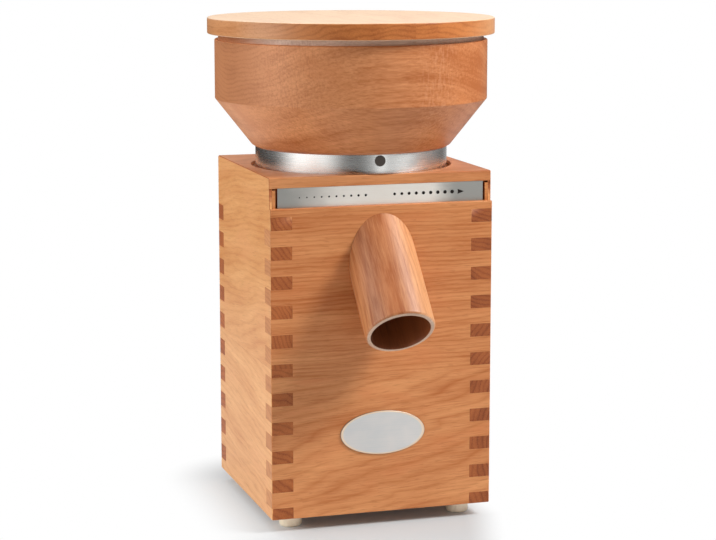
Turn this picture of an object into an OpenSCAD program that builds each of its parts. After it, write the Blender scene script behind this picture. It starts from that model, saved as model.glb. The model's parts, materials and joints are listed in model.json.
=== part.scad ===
// Electric grain mill. A finger-jointed beech box holds a motor and a milling
// chamber. The hopper screws into the top board and carries the upper stone, so
// turning it sets how fine the mill grinds. The runner stone turns on the motor
// shaft, and the flour leaves through the slanted spout.
// Heights below are above the box's lower edge, on the hopper's axis; placed()
// then stands the whole mill on its feet, over the middle of its footprint.

/* [Box] */
// Width of the box, side to side
box_w = 156; // [152:1:180]
// Depth of the box, front to back
box_d = 146; // [144:1:170]
// Height of the box, without its feet
box_h = 232; // [228:1:260]
// Thickness of the four panels
wall = 15; // [13:0.5:16]
// Height of one finger of a side panel
pin_h = 9; // [7:0.5:12]
// Height of one finger of the front and back panels
finger_h = 10.8; // [8:0.2:14]
// Height of a side panel's lowest finger, cut short by the lower edge
first_pin_h = 8.2; // [5:0.2:8.8]
// Thickness of the top board where it covers the panels
cap_t = 7; // [6:0.5:9]
// Height of the recess for the scale, under the top board
scale_h = 13.4; // [11:0.2:16]
// How far the recess and the top board stand back from the front panel
set_back = 3; // [1:0.5:4]
// Lip of the side panels that hides the ends of the scale rail
lip_t = 2.2; // [1.5:0.1:4]
// Thickness of the base board
base_t = 8; // [6:0.5:10]
// Width of the rebate that takes the base board
rebate = 8; // [5:0.5:10]

/* [Scale and badge] */
// Depth of the wooden rail behind the scale
rail_t = 8; // [6:0.5:9]
// Width of the end posts of the rail
post_w = 2.2; // [1.2:0.1:3]
// How far the end posts stop short of the top board
post_drop = 1.4; // [0.5:0.1:3]
// Width of the groove between an end post and the plate
groove_w = 1.5; // [0.8:0.1:3]
// Depth of that groove
groove_d = 4; // [2:0.5:5]
// Thickness of the scale plate and of the badge
plate_t = 0.8; // [0.5:0.1:1.2]
// How far the plate's face lies behind the end posts
plate_sink = 0.2; // [0:0.1:0.6]
// Width of the oval badge
badge_w = 60; // [40:1:80]
// Height of the oval badge
badge_h = 30.2; // [20:0.2:40]
// Height of the badge's centre
badge_z = 55.8; // [40:0.2:80]

/* [Spout] */
// Outer radius of the wooden spout
spout_r = 23.6; // [20:0.2:25]
// Radius of the bore of the spout
spout_in_r = 19.4; // [15:0.2:21]
// Length of the spout's axis in front of the panel
spout_len = 55.7; // [45:0.1:75]
// Angle of the spout below the level
spout_tilt = 46; // [44:0.5:50]
// Height at which the spout's axis meets the front of the panel
spout_z = 172; // [168:0.5:173]
// Depth of the seat that the spout is glued into
spout_seat = 3; // [2:0.5:3]
// Bevel round the mouth of the spout
mouth_bevel = 0.9; // [0.4:0.1:1.5]
// Radius of the flour outlet that leads into the spout
outlet_r = 11; // [9:0.5:12]

/* [Feet] */
// Radius of a foot
foot_r = 7.7; // [6:0.1:9]
// Height of a foot
foot_h = 9; // [7:0.5:14]
// From the outer face of a panel to the middle of a foot
foot_inset = 17.5; // [16:0.5:24]
// Rounding of a foot's lower edge
foot_round = 2.2; // [1:0.1:3]

/* [Hopper] */
// Radius of the opening in the top board
mouth_r = 69.7; // [68:0.1:70.5]
// Gap between that opening and the steel band
mouth_gap = 3; // [2:0.1:4]
// Thickness of the steel band
band_t = 1.5; // [1:0.1:2]
// Height of the steel band
band_h = 17.3; // [14:0.1:24]
// How far the band reaches below the top board's surface
band_sink = 4.5; // [3:0.1:5]
// Radius of the marker on the band
marker_r = 3.7; // [2:0.1:4]
// From the band's upper edge down to the middle of the marker
marker_drop = 4.3; // [4.2:0.1:8]
// Overhang of the wooden bowl over the band
bowl_step = 2.6; // [1:0.1:5]
// Height of the bevel under that overhang
bowl_bevel = 1.4; // [0.8:0.1:3]
// Outer radius of the bowl
bowl_r = 94.4; // [85:0.2:105]
// Height of the bowl's cone
cone_h = 31.8; // [25:0.2:45]
// Height of the bowl's straight side
side_h = 40.5; // [30:0.5:70]
// Wall at the straight side of the bowl
bowl_wall = 9.4; // [7:0.2:12]
// How far the rim stands in from the straight side
rim_in = 2.6; // [1:0.1:4]
// Height of the rim
rim_h = 3.9; // [2:0.1:6]
// Radius of the throat in the bottom of the bowl
throat_r = 15; // [10:0.5:18]
// Height of the throat's straight part
throat_h = 10; // [4:0.5:12]
// How far the funnel inside the bowl rises above the foot of its straight side
funnel_lip = 4; // [0:0.5:8]
// Radius of the lid
lid_r = 99.3; // [90:0.1:110]
// Thickness of the lid
lid_t = 11.2; // [8:0.2:16]
// Depth of the disc under the lid that enters the bowl
plug_h = 5; // [3:0.5:8]
// Clearance of that disc in the bowl
plug_gap = 0.6; // [0.4:0.1:1.5]
// Rounding of the lid's edges
lid_round = 1.2; // [0.5:0.1:2]

/* [Screw adjustment] */
// Inner radius of the fixed socket
socket_r = 49; // [47:0.5:50]
// Wall of the socket
socket_t = 5; // [3:0.5:6]
// Clearance between the socket and the hopper's ring
socket_gap = 0.3; // [0.2:0.05:0.5]
// Wall of the hopper's ring
ring_t = 4; // [3:0.5:4]
// Depth of the hopper's ring below the bowl
ring_h = 16; // [12:0.5:18]
// Thickness of the ring's flange
flange_t = 2.4; // [1.6:0.1:3]
// How far the flange reaches beyond the ring
flange_w = 9.3; // [7:0.1:12]
// Clearance round the dust seal
seal_gap = 0.3; // [0.2:0.05:0.5]
// Width of the dust seal
seal_w = 5.5; // [3:0.5:6]
// Thickness of the dust seal
seal_t = 2.7; // [1.5:0.1:2.8]

/* [Stones] */
// Radius of both stones
stone_r = 42.5; // [40:0.5:43]
// Thickness of the upper stone
upper_t = 16; // [14:0.5:17]
// Thickness of the runner stone
runner_t = 19; // [14:0.5:20]
// Gap between the stones with the mark in the middle
mesh_gap = 1.3; // [1.3:0.1:2.5]
// Depth of the grinding gap below the top board's surface
mesh_depth = 32; // [31:0.5:33]
// Number of furrows in each stone
furrows = 12; // [6:1:18]
// Width of a furrow
furrow_w = 5; // [3:0.5:7]
// Depth of a furrow at the eye
furrow_d = 2; // [1:0.1:3]
// Radius of the hollow that draws the grain in
breast_r = 26; // [20:1:32]
// Depth of that hollow at the eye
breast_d = 3; // [1:0.5:4]
// Thickness of the plates that carry the stones
carrier_t = 3; // [2:0.5:3]
// Thickness of the plate under the bowl
hanger_t = 3.6; // [3:0.2:4]
// Circle of the shoulder bolts that hang the upper stone
bolt_circle = 33; // [30:0.5:34]
// Radius of a shoulder bolt
bolt_r = 2; // [1.5:0.1:2.5]
// Radius of a shoulder bolt's head
bolt_head_r = 4; // [3:0.1:5]
// Height of a shoulder bolt's head
bolt_head_h = 2.6; // [2:0.1:3]
// Travel that the springs allow the upper stone
float_up = 1.5; // [0.5:0.1:2]
// Wire radius of the springs
wire_r = 0.5; // [0.4:0.05:0.6]
// Turns of each spring
spring_turns = 3; // [2:1:4]

/* [Milling chamber] */
// Room between the stones and the chamber wall
sweep_gap = 6.5; // [5:0.5:8]
// Wall of the chamber
chamber_t = 4; // [3:0.5:5]
// Floor of the chamber
floor_t = 6; // [5:0.5:8]
// Clearance under the runner's carrier
floor_gap = 1.3; // [0.8:0.1:2]
// Clearance between the square flanges and the front and back panels
flange_clear = 1; // [0.5:0.1:2]
// From the edges of the square flanges to their screws
flange_edge = 7; // [6:0.5:9]
// Thickness of the chamber's flange
flange_h = 3; // [2.5:0.5:4]
// Thickness of the socket's flange
socket_flange_h = 3.5; // [3:0.5:5]
// Radius of the flange screws
flange_screw_r = 2; // [1.5:0.1:2.5]
// Radius of the motor bolts
motor_bolt_r = 2.5; // [2:0.1:3]
// Circle of the motor bolts
motor_bolt_circle = 30; // [27:0.5:33]

/* [Motor] */
// Outer radius of the motor shell
motor_r = 54; // [50:0.5:55]
// Radius of the motor's neck, under the chamber
neck_bell_r = 46; // [42:0.5:46]
// Thickness of the shell
shell_t = 4; // [2:0.5:5]
// Room under the motor, above the base board
motor_room = 31; // [30:0.5:40]
// Height of the upper end bell
upper_bell_h = 20; // [18:0.5:24]
// Height of the lower end bell
lower_bell_h = 14; // [13:0.5:18]
// Radius of the shaft
shaft_r = 7.5; // [6:0.5:8]
// Running clearance of the shaft in its bearings
run_fit = 0.05; // [0.02:0.01:0.09]
// Outer radius of the bearings
bearing_r = 17.5; // [16:0.5:19]
// Width of the bearings
bearing_w = 11; // [9:0.5:12]
// Room for the windings above and below the stacks
winding_room = 14; // [12:0.5:18]
// Radius of the rotor
rotor_r = 29; // [24:0.5:32]
// Air gap of the motor
air_gap = 0.5; // [0.35:0.05:0.8]
// Number of slots in the stator
slots = 24; // [12:6:36]
// Radius of the fan
fan_r = 40; // [34:0.5:44]
// Number of fan blades
blades = 8; // [5:1:11]
// Height of the fan blades
blade_h = 9; // [6:0.5:10]
// Height of the cover round the fan
cowl_h = 19; // [17:0.5:20]
// Clearance of the fan in its cover
fan_gap = 2.5; // [1:0.1:4]

/* [Switch and cord inlet] */
// Width of the switch frame
switch_w = 21; // [18:0.5:24]
// Height of the switch frame
switch_h = 30; // [26:0.5:36]
// From the axis back to the middle of the switch
switch_y = 36; // [34:0.5:37]
// Height of the middle of the switch
switch_z = 42; // [36:0.5:60]
// Tilt of the rocker each way from level
rock_tilt = 11; // [6:0.5:12]
// From the axis across to the cord inlet
inlet_x = 24; // [16:0.5:30]
// Height of the cord inlet
inlet_z = 24; // [20:0.5:28]
// Radius of the hole for the cord
cord_r = 3.6; // [3:0.1:4]
// Radius of the inlet's thread
inlet_r = 7.5; // [6:0.5:8]
// Radius of the capacitor
cap_r = 13; // [10:0.5:13.5]
// Length of the capacitor
cap_len = 62; // [50:1:70]

/* [Hidden] */
$fn = 96;
tiny = 0.01;
over = 1;             // how far a cutting shape runs past the face it cuts
snug = 0.05;          // clearance of glued and pressed pieces
screw_fit = 0.15;     // clearance of a screw in its hole

hw = box_w / 2;
hd = box_d / 2;
in_w = hw - wall;                     // half the inside width
in_d = hd - wall;                     // half the inside depth
pitch = pin_h + finger_h;
ledge_z = box_h - cap_t - scale_h;    // top edge of the front panel
deck_z = box_h - cap_t;               // underside of the covering part
pin_n = floor((ledge_z - first_pin_h) / pitch) + 1;
joint_z = first_pin_h + (pin_n - 1) * pitch;   // top of the highest side finger
rail_y = -hd + set_back;              // front of the scale rail's posts
rail_w = hw - lip_t - snug;           // half the rail's length
land_y = rail_y + plate_sink + plate_t;
land_w = rail_w - post_w - groove_w;  // half the scale plate's length

band_r = mouth_r - mouth_gap;
neck_r = band_r - band_t;
band_z = box_h - band_sink;           // lower edge of the band
band_top = band_z + band_h;
neck_z = band_z + 1.5;                // underside of the bowl
marker_z = band_top - marker_drop;
cone_r = band_r + bowl_step;
cone_z = band_top + bowl_bevel;
side_z = cone_z + cone_h;
shoulder_z = side_z + side_h;
rim_z = shoulder_z + rim_h;
bowl_in_r = bowl_r - bowl_wall;
rim_r = bowl_r - rim_in;
funnel_z = neck_z + throat_h;

ring_r = socket_r - socket_gap;
ring_in_r = ring_r - ring_t;
flange_r = ring_r + flange_w;
socket_out_r = socket_r + socket_t;
seal_in_r = flange_r + seal_gap;

mesh_z = box_h - mesh_depth;
runner_top = mesh_z - mesh_gap / 2;
runner_z = runner_top - runner_t;
hub_z = runner_z - carrier_t;
floor_z = hub_z - floor_gap;          // top of the chamber's floor
motor_z = floor_z - floor_t;          // face that the motor hangs from
upper_z = mesh_z + mesh_gap / 2;
holder_z = upper_z + upper_t;
spring_z = holder_z + carrier_t;
hanger_z = neck_z - hanger_t;
eye_r = throat_r - 1;                 // the stone's eye, just inside the throat

chamber_r = stone_r + sweep_gap;
chamber_out_r = chamber_r + chamber_t;
flange_sq = 2 * (in_d - flange_clear);
flange_screw = flange_sq / 2 - flange_edge;    // from the axis, along X and Y
socket_flange_z = ledge_z - socket_flange_h;
chamber_top = socket_flange_z;
boss_r = outlet_r + chamber_t;
boss_y = -(neck_bell_r + 1.5);        // inner end of the outlet boss

shell_top = motor_z - upper_bell_h;
cowl_z = base_t + motor_room;
cowl_top = cowl_z + cowl_h;
shell_z = cowl_top + lower_bell_h;
shell_h = shell_top - shell_z;
stator_r = motor_r - shell_t - snug;
stack_z = shell_z + winding_room;
stack_h = shell_h - 2 * winding_room;
upper_bearing_z = motor_z - 4 - bearing_w;
lower_bearing_z = cowl_top + 2;
shaft_z = cowl_z + 4;
cowl_t = 1.5;
shaft_end = runner_top - 1.5;
end_ring_h = 5;                       // short-circuit rings of the rotor
end_ring_in = 4;
rod_r = 2;
rod_nut_r = 3.6;
rod_nut_h = 3.2;
rod_circle = motor_r + rod_nut_r + 0.2;
spindle_r = shaft_r - 1.5;            // thinner upper end of the shaft
hub_boss_r = shaft_r + 4.5;

spout_reach = hd + spout_len * cos(spout_tilt) + spout_r * sin(spout_tilt);
axis_y = (spout_reach - lid_r) / 2;

base_screw_r = 1.5;
base_screw_l = 18;
air_rings = 3;                        // rings of air holes in the base board
air_hole_r = 2.5;

foot_x = hw - foot_inset;
foot_y = hd - foot_inset;
foot_screw_r = 2;
foot_head_r = 3.4;
foot_head_h = 2;
foot_sink = 4.5;                      // depth of the recess for that head

ring_screw_r = 1.5;
ring_screw_l = 12;
outlet_l = (hd - chamber_r + 2 * floor_t) / cos(spout_tilt);
seal_seat_r = shaft_r + 6;
bolt_grip = 8;                        // how deep the motor bolts screw in

washer_r = 18;
washer_t = 2;
washer_depth = 5;
washer_z = runner_top - breast_d - washer_depth;
nut_r = 10;
nut_h = 5;
arm_t = 3;                            // arms that sweep the flour out
arm_h = 12;
arm_gap = 0.8;

slot_w = 3.4;                         // slots of the stator
slot_in = 3.2;                        // from the air gap to the slots
slot_out = 6;                         // from the slots to the stator's outside
winding_h = 11;
winding_round = 2;
rib_t = 2;                            // cooling ribs
rib_h = 2.5;
ear_r = 5;                            // ears that take the tie rods
ear_h = 5;
web_t = 4;                            // web of the lower end bell
web_holes = 8;                        // air passages through it
bearing_boss = 4;                     // wall round a bearing
shaft_room = 2;                       // clearance where the shaft passes a wall
bell_hollow = 8;                      // depth of the upper end bell's hollow

strap_t = 1;
strap_w = 16;
strap_foot = 7;
cap_x = -in_w + 2 * cap_r + strap_foot - strap_t;
cap_z = base_t + cap_r + strap_t;
cap_lip = 1.5;                        // raised end of the capacitor

block_x = 14;                         // terminal block
block_y = 34;
block_w = 10;
block_d = 14;
block_h = 16;
block_foot = 3;
block_pitch = 12;
lead_r = 1;
lead_z = base_t + 9;                  // height of the terminals' holes
lead_gap = 0.2;                       // from a lead's end to what it meets
lead_run = 14;                        // how far a lead runs straight at its ends

bezel_w = 1.6;
bezel_h = 2;
switch_depth = 20;
switch_back = hw - switch_depth;
pivot_x = hw - 2.8;                   // the pins that the rocker turns on
trunnion_r = 1.3;
trunnion_l = 1.2;
rocker_w = switch_w - 6;
rocker_h = switch_h - 6;
rocker_gap = 0.4;
rocker_depth = 9.2;                   // from the pins to the rocker's well
rocker_face = 4.2;                    // from the pins to where its faces meet
rocker_round = 1.6;
tab_z = 7;                            // from the switch's middle to its tabs
tab_l = 7;
tab_w = 4.8;
tab_t = 0.8;

inlet_head = 5;
inlet_hex = inlet_r + 3;
inlet_nut_h = 4;

beech = "#D89A66";
beech_light = "#E6B484";
steel = "#C9CBCC";

// ---------------------------------------------------------------- helpers

module placed() translate([0, axis_y, foot_h]) children();

// A ring standing at height z
module tube(z, h, r_out, r_in)
    translate([0, 0, z])
        difference() {
            cylinder(h = h, r = r_out);
            translate([0, 0, -over]) cylinder(h = h + 2 * over, r = r_in);
        }

// A block given by its two corners
module block(low, high)
    translate(low) cube([high[0] - low[0], high[1] - low[1], high[2] - low[2]]);

// Copies at the four corners of a rectangle of half sizes x and y
module four(x, y)
    for (sx = [-1, 1], sy = [-1, 1])
        translate([sx * x, sy * y, 0]) children();

// n copies round the axis
module around(n, first = 0)
    for (k = [0 : n - 1])
        rotate([0, 0, first + k * 360 / n]) children();

// A frame whose +Z runs out along the spout, from the face of the front panel
module along_spout()
    translate([0, -hd, spout_z]) rotate([90 + spout_tilt, 0, 0]) children();

// Countersunk screw that stands up from z, head down
module screw_up(z, length, r)
    translate([0, 0, z]) {
        cylinder(h = r, r1 = 2 * r, r2 = r);
        cylinder(h = length, r = r);
    }

// The hole for that screw
module screw_hole(z, length, r)
    translate([0, 0, z - tiny]) {
        cylinder(h = r + tiny, r1 = 2 * r + screw_fit, r2 = r + screw_fit);
        cylinder(h = length + 0.3, r = r + screw_fit);
    }

// Points on a quarter round of radius r about (cx, cz), from angle a0 to a1
function round_pts(cx, cz, r, a0, a1, n = 6) =
    [for (k = [0 : n]) let (a = a0 + (a1 - a0) * k / n)
        [cx + r * cos(a), cz + r * sin(a)]];

// Tube of radius r along a path of points that never runs straight up, closed
// at both ends
module sweep(path, r, sides = 8) {
    n = len(path);
    function unit(v) = v / norm(v);
    function heading(i) =
        unit(path[min(i + 1, n - 1)] - path[max(i - 1, 0)]);
    function across(d) = unit(cross(d, [0, 0, 1]));
    points = [
        for (i = [0 : n - 1], s = [0 : sides - 1])
            let (d = heading(i), u = across(d), v = cross(d, u),
                 a = 360 * s / sides)
            path[i] + r * (cos(a) * u + sin(a) * v)
    ];
    walls = [
        for (i = [0 : n - 2], s = [0 : sides - 1])
            let (t = (s + 1) % sides)
            [i * sides + s, i * sides + t, (i + 1) * sides + t,
             (i + 1) * sides + s]
    ];
    start = [for (s = [sides - 1 : -1 : 0]) s];
    end = [for (s = [0 : sides - 1]) (n - 1) * sides + s];
    polyhedron(points = points, faces = concat([start], walls, [end]));
}

// Points of a smooth curve with the corners a, b, c and d
function bend(a, b, c, d, n = 10) =
    [for (k = [0 : n]) let (t = k / n, s = 1 - t)
        s * s * s * a + 3 * s * s * t * b + 3 * s * t * t * c + t * t * t * d];

// ------------------------------------------------------------ wooden box

// Room for the fingers of the side panels, at one face y0 to y1
module pin_slots(y0, y1)
    for (k = [0 : pin_n - 1], s = [-1, 1]) {
        top = first_pin_h + k * pitch;
        translate([s * (hw - wall / 2), (y0 + y1) / 2, top - pin_h / 2])
            cube([wall + tiny * 2, y1 - y0 + 2 * over, pin_h], center = true);
    }

// Three-cornered prism between heights z0 and z1, standing on points in plan
module prism(points, z0, z1)
    translate([0, 0, z0]) linear_extrude(height = z1 - z0) polygon(points);

// Panel across the front or the back, drawn at the front
module cross_panel(top) {
    difference() {
        block([-hw, -hd, 0], [hw, -in_d, top]);
        difference() {
            pin_slots(-hd, -in_d);
            block([-in_w, -hd - over, 0], [in_w, in_d, box_h]);
        }
        for (s = [0, 1]) mirror([s, 0, 0])
            prism([[hw + tiny, -hd - tiny], [hw + over, -in_d + tiny],
                   [in_w - tiny, -in_d + tiny]], joint_z, box_h + over);
        block([-in_w - rebate, -in_d - rebate, -over], [in_w + rebate, 0, base_t]);
    }
}

module front_panel() placed() color(beech) {
    difference() {
        cross_panel(ledge_z);
        intersection() {
            along_spout()
                translate([0, 0, -4 * wall])
                    cylinder(h = 4 * wall + spout_len, r = spout_r + snug);
            block([-hw, -hd - over, 0], [hw, -hd + spout_seat, ledge_z]);
        }
        outlet_bore();
        // pilot holes for the base screws
        base_screw_holes();
    }
}

module back_panel() placed() color(beech) {
    vent_n = 6;
    vent_pitch = 12;
    vent_r = 2;
    vent_half = 26;
    vent_z = 84;
    difference() {
        union() {
            rotate([0, 0, 180]) cross_panel(deck_z);
            // bevelled top edge under the top board
            intersection() {
                rotate([90, 0, 90])
                    translate([0, 0, -hw])
                        linear_extrude(height = box_w)
                            polygon([[hd - cap_t, deck_z - over],
                                     [hd, deck_z - over],
                                     [hd, box_h], [hd - cap_t, deck_z]]);
                prism([[-hw, hd], [hw, hd], [0, hd - hw]], deck_z - over, box_h);
            }
        }
        // slots that let the motor's air out
        for (k = [0 : vent_n - 1])
            translate([0, hd, vent_z + k * vent_pitch]) {
                cube([2 * vent_half, 3 * wall, 2 * vent_r], center = true);
                for (s = [-1, 1])
                    translate([s * vent_half, 0, 0]) rotate([90, 0, 0])
                        cylinder(h = 3 * wall, r = vent_r, center = true);
            }
        translate([inlet_x, hd + over, inlet_z]) rotate([90, 0, 0])
            cylinder(h = wall + 2 * over, r = inlet_r + snug);
        // room for the nut
        translate([inlet_x, in_d + wall / 2, inlet_z]) rotate([90, 0, 0])
            cylinder(h = wall, r = inlet_hex + 1);
        base_screw_holes();
    }
}

// Right-hand panel; the left one is its mirror image
module side_panel() {
    difference() {
        union() {
            block([in_w, -hd, 0], [hw, hd, deck_z]);
            rotate([90, 0, 0])
                translate([0, 0, -hd])
                    linear_extrude(height = box_d)
                        polygon([[hw - cap_t, deck_z - over],
                                 [hw, deck_z - over],
                                 [hw, box_h], [hw - cap_t, deck_z]]);
        }
        // gaps between the fingers
        for (k = [0 : pin_n - 2], s = [-1, 1]) {
            low = first_pin_h + k * pitch;
            translate([hw - wall / 2, s * (hd - wall / 2), low + finger_h / 2])
                cube([wall + 2 * over, wall + tiny, finger_h], center = true);
        }
        // mitred corners above the highest finger
        prism([[in_w - over, -in_d], [in_w, -in_d], [hw, -hd],
               [hw, -hd - over], [in_w - over, -hd - over]],
              joint_z, ledge_z);
        prism([[in_w - over, in_d], [in_w, in_d], [hw, hd],
               [hw, hd + over], [in_w - over, hd + over]],
              joint_z, box_h + over);
        // recess for the scale
        block([0, -hd - over, ledge_z], [hw + over, rail_y, box_h + over]);
        // mitre against the front corner of the top board
        prism([[hw + over, rail_y - over], [hw - cap_t - over, rail_y - over],
               [hw - cap_t - over, rail_y + cap_t + over]], deck_z, box_h + over);
        block([0, -hd - over, ledge_z], [hw - lip_t, rail_y + rail_t, deck_z]);
        block([0, -in_d - rebate, -over], [in_w + rebate, in_d + rebate, base_t]);
        base_screw_holes();
    }
}

module left_panel() placed() color(beech_light) mirror([1, 0, 0]) side_panel();

module right_panel() placed() color(beech_light)
    difference() {
        side_panel();
        translate([hw, switch_y, switch_z])
            cube([3 * wall, switch_w - 3, switch_h - 3], center = true);
        // thinned from inside, so that the switch clips in
        block([in_w - over, switch_y - switch_w, switch_z - switch_h * 0.75],
              [hw - 4, switch_y + switch_w - 1, switch_z + switch_h * 0.75]);
    }

module top_board() placed() color(beech)
    difference() {
        union() {
            intersection() {
                rotate([90, 0, 0])
                    translate([0, 0, -hd])
                        linear_extrude(height = box_d - set_back)
                            polygon([[-hw, box_h], [hw, box_h],
                                     [hw - cap_t, deck_z], [-hw + cap_t, deck_z]]);
                rotate([90, 0, 90])
                    translate([0, 0, -hw])
                        linear_extrude(height = box_w)
                            polygon([[-hd, box_h], [hd, box_h],
                                     [hd - cap_t, deck_z], [-hd, deck_z]]);
            }
            // front corners, mitred into the side panels
            for (s = [0, 1]) mirror([s, 0, 0])
                prism([[hw, rail_y], [hw - cap_t, rail_y + cap_t],
                       [in_w, rail_y + cap_t], [in_w, rail_y]], deck_z, box_h);
            block([-in_w, rail_y + rail_t, ledge_z], [in_w, in_d, deck_z + over]);
        }
        translate([0, 0, deck_z - tiny])
            cylinder(h = cap_t + over, r = mouth_r, $fn = 160);
        translate([0, 0, ledge_z - over])
            cylinder(h = scale_h + 2 * over, r = socket_out_r + snug);
        four(flange_screw, flange_screw)
            translate([0, 0, ledge_z - over])
                cylinder(h = scale_h - 2, r = flange_screw_r + screw_fit);
    }

// Places of the screws that hold the base board
module base_screw_places() {
    screw_row = 0.55;
    side = in_w + rebate / 2;
    end = in_d + rebate / 2;
    for (s = [-1, 1], t = [-1, 1]) {
        translate([s * side, t * screw_row * in_d, 0]) children();
        translate([t * screw_row * in_w, s * end, 0]) children();
    }
}

module base_screw_holes()
    base_screw_places() screw_hole(0, base_screw_l, base_screw_r);

module base_board() placed() color(beech_light)
    difference() {
        block([-in_w - rebate + snug, -in_d - rebate + snug, 0],
              [in_w + rebate - snug, in_d + rebate - snug, base_t]);
        base_screw_holes();
        four(foot_x, foot_y) translate([0, 0, -over])
            cylinder(h = base_t + 2 * over, r = foot_screw_r + screw_fit);
        // air holes under the fan
        for (ring = [1 : air_rings])
            around(6 * ring)
                translate([ring * fan_r * 0.8 / air_rings, 0, -over])
                    cylinder(h = base_t + 2 * over, r = air_hole_r, $fn = 24);
    }

module base_screws() placed() color("silver")
    base_screw_places() screw_up(0, base_screw_l, base_screw_r);

module feet() placed() color("#E9DDC0")
    four(foot_x, foot_y)
        rotate_extrude()
            polygon(concat(
                [[foot_head_r + 0.2, -foot_h]],
                round_pts(foot_r - foot_round, -foot_h + foot_round, foot_round,
                          -90, 0),
                [[foot_r, 0], [foot_screw_r + screw_fit, 0],
                 [foot_screw_r + screw_fit, -foot_h + foot_sink],
                 [foot_head_r + 0.2, -foot_h + foot_sink]]));

module foot_screws() placed() color("silver")
    four(foot_x, foot_y)
        translate([0, 0, -foot_h + foot_sink - foot_head_h]) {
            cylinder(h = foot_head_h, r = foot_head_r);
            cylinder(h = foot_h - foot_sink + foot_head_h + base_t - 1,
                     r = foot_screw_r);
        }

// ------------------------------------------------------- scale and badge

module scale_rail() placed() color(beech_light)
    difference() {
        block([-rail_w, rail_y, ledge_z], [rail_w, rail_y + rail_t - snug, deck_z]);
        block([-land_w, rail_y - over, ledge_z - over],
              [land_w, land_y, deck_z + over]);
        for (s = [0, 1]) mirror([s, 0, 0]) {
            block([land_w, rail_y - over, ledge_z - over],
                  [land_w + groove_w, rail_y + groove_d, deck_z + over]);
            block([land_w, rail_y - over, deck_z - post_drop],
                  [hw, rail_y + groove_d, deck_z + over]);
        }
    }

module scale_plate() placed() color(steel)
    block([-land_w, land_y - plate_t, ledge_z + 0.1],
          [land_w, land_y, deck_z - 0.1]);

module badge() placed() color(steel)
    translate([0, -hd, badge_z]) rotate([90, 0, 0])
        linear_extrude(height = plate_t)
            polygon([for (a = [0 : 5 : 355])
                [badge_w / 2 * cos(a), badge_h / 2 * sin(a)]]);

// ------------------------------------------------------------------ spout

module spout() placed() color(beech)
    difference() {
        along_spout()
            translate([0, 0, -3 * wall])
                cylinder(h = 3 * wall + spout_len, r = spout_r);
        block([-hw, -hd + spout_seat, 0], [hw, hd, box_h + 2 * wall]);
        along_spout() {
            translate([0, 0, -4 * wall])
                cylinder(h = 4 * wall + spout_len + over, r = spout_in_r);
            translate([0, 0, spout_len - mouth_bevel])
                cylinder(h = mouth_bevel + tiny, r1 = spout_in_r,
                         r2 = spout_in_r + mouth_bevel);
        }
    }

// The flour's way from the chamber through the panel, level with the lowest
// line of the spout's bore
module outlet_bore()
    along_spout()
        translate([0, outlet_r - spout_in_r, -outlet_l])
            cylinder(h = outlet_l + over, r = outlet_r);

// --------------------------------------------------------- hopper and lid

module hopper_bowl() placed() color(beech)
    difference() {
        rotate_extrude($fn = 160)
            polygon([
                [throat_r, neck_z], [neck_r, neck_z], [neck_r, band_top],
                [band_r + 0.2, band_top], [cone_r, cone_z], [bowl_r, side_z],
                [bowl_r, shoulder_z], [rim_r, shoulder_z], [rim_r, rim_z],
                [bowl_in_r, rim_z], [bowl_in_r, side_z + funnel_lip],
                [throat_r, funnel_z]
            ]);
        ring_screw_places() screw_hole(neck_z - flange_t, ring_screw_l, ring_screw_r);
    }

module hopper_band() placed() color(steel)
    difference() {
        tube(band_z, band_h, band_r, neck_r + snug);
        translate([0, 0, marker_z]) rotate([90, 0, 0])
            cylinder(h = band_r + over, r = marker_r + snug);
    }

module band_marker() placed() color("#2B2E2C")
    intersection() {
        translate([0, 0, marker_z]) rotate([90, 0, 0])
            cylinder(h = band_r + over, r = marker_r);
        tube(band_z, band_h, band_r + 0.4, neck_r + snug);
    }

module lid() placed() color(beech)
    rotate_extrude($fn = 160)
        polygon(concat(
            [[0, rim_z - plug_h]],
            [[bowl_in_r - plug_gap, rim_z - plug_h], [bowl_in_r - plug_gap, rim_z]],
            round_pts(lid_r - lid_round, rim_z + lid_round, lid_round, -90, 0),
            round_pts(lid_r - lid_round, rim_z + lid_t - lid_round, lid_round,
                      0, 90),
            [[0, rim_z + lid_t]]));

// ------------------------------------------------------- screw adjustment

// Six screws between the ring and the flange's edge
module ring_screw_places()
    around(6) translate([(ring_r + flange_r) / 2, 0, 0]) children();

module hopper_ring() placed() color("#E8E4DA")
    difference() {
        rotate_extrude()
            polygon([
                [ring_in_r, neck_z - ring_h], [ring_r, neck_z - ring_h],
                [ring_r, neck_z - flange_t], [flange_r, neck_z - flange_t],
                [flange_r, neck_z], [ring_in_r, neck_z]
            ]);
        ring_screw_places() screw_hole(neck_z - flange_t, ring_screw_l, ring_screw_r);
    }

module hopper_ring_screws() placed() color("silver")
    ring_screw_places() screw_up(neck_z - flange_t, ring_screw_l, ring_screw_r);

module dust_seal() placed() color("#8B8F92")
    tube(neck_z - seal_t, seal_t, seal_in_r + seal_w, seal_in_r);

// Square plate with rounded corners, from height z
module flange_plate(z, h)
    translate([0, 0, z])
        linear_extrude(height = h) {
            corner = 7;
            half = flange_sq / 2;
            square([flange_sq, flange_sq - 2 * corner], center = true);
            square([flange_sq - 2 * corner, flange_sq], center = true);
            for (sx = [-1, 1], sy = [-1, 1])
                translate([sx * (half - corner), sy * (half - corner)])
                    circle(r = corner);
        }

module flange_holes()
    four(flange_screw, flange_screw)
        translate([0, 0, chamber_top - flange_h - over])
            cylinder(h = flange_h + socket_flange_h + 2 * over,
                     r = flange_screw_r + screw_fit);

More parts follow.
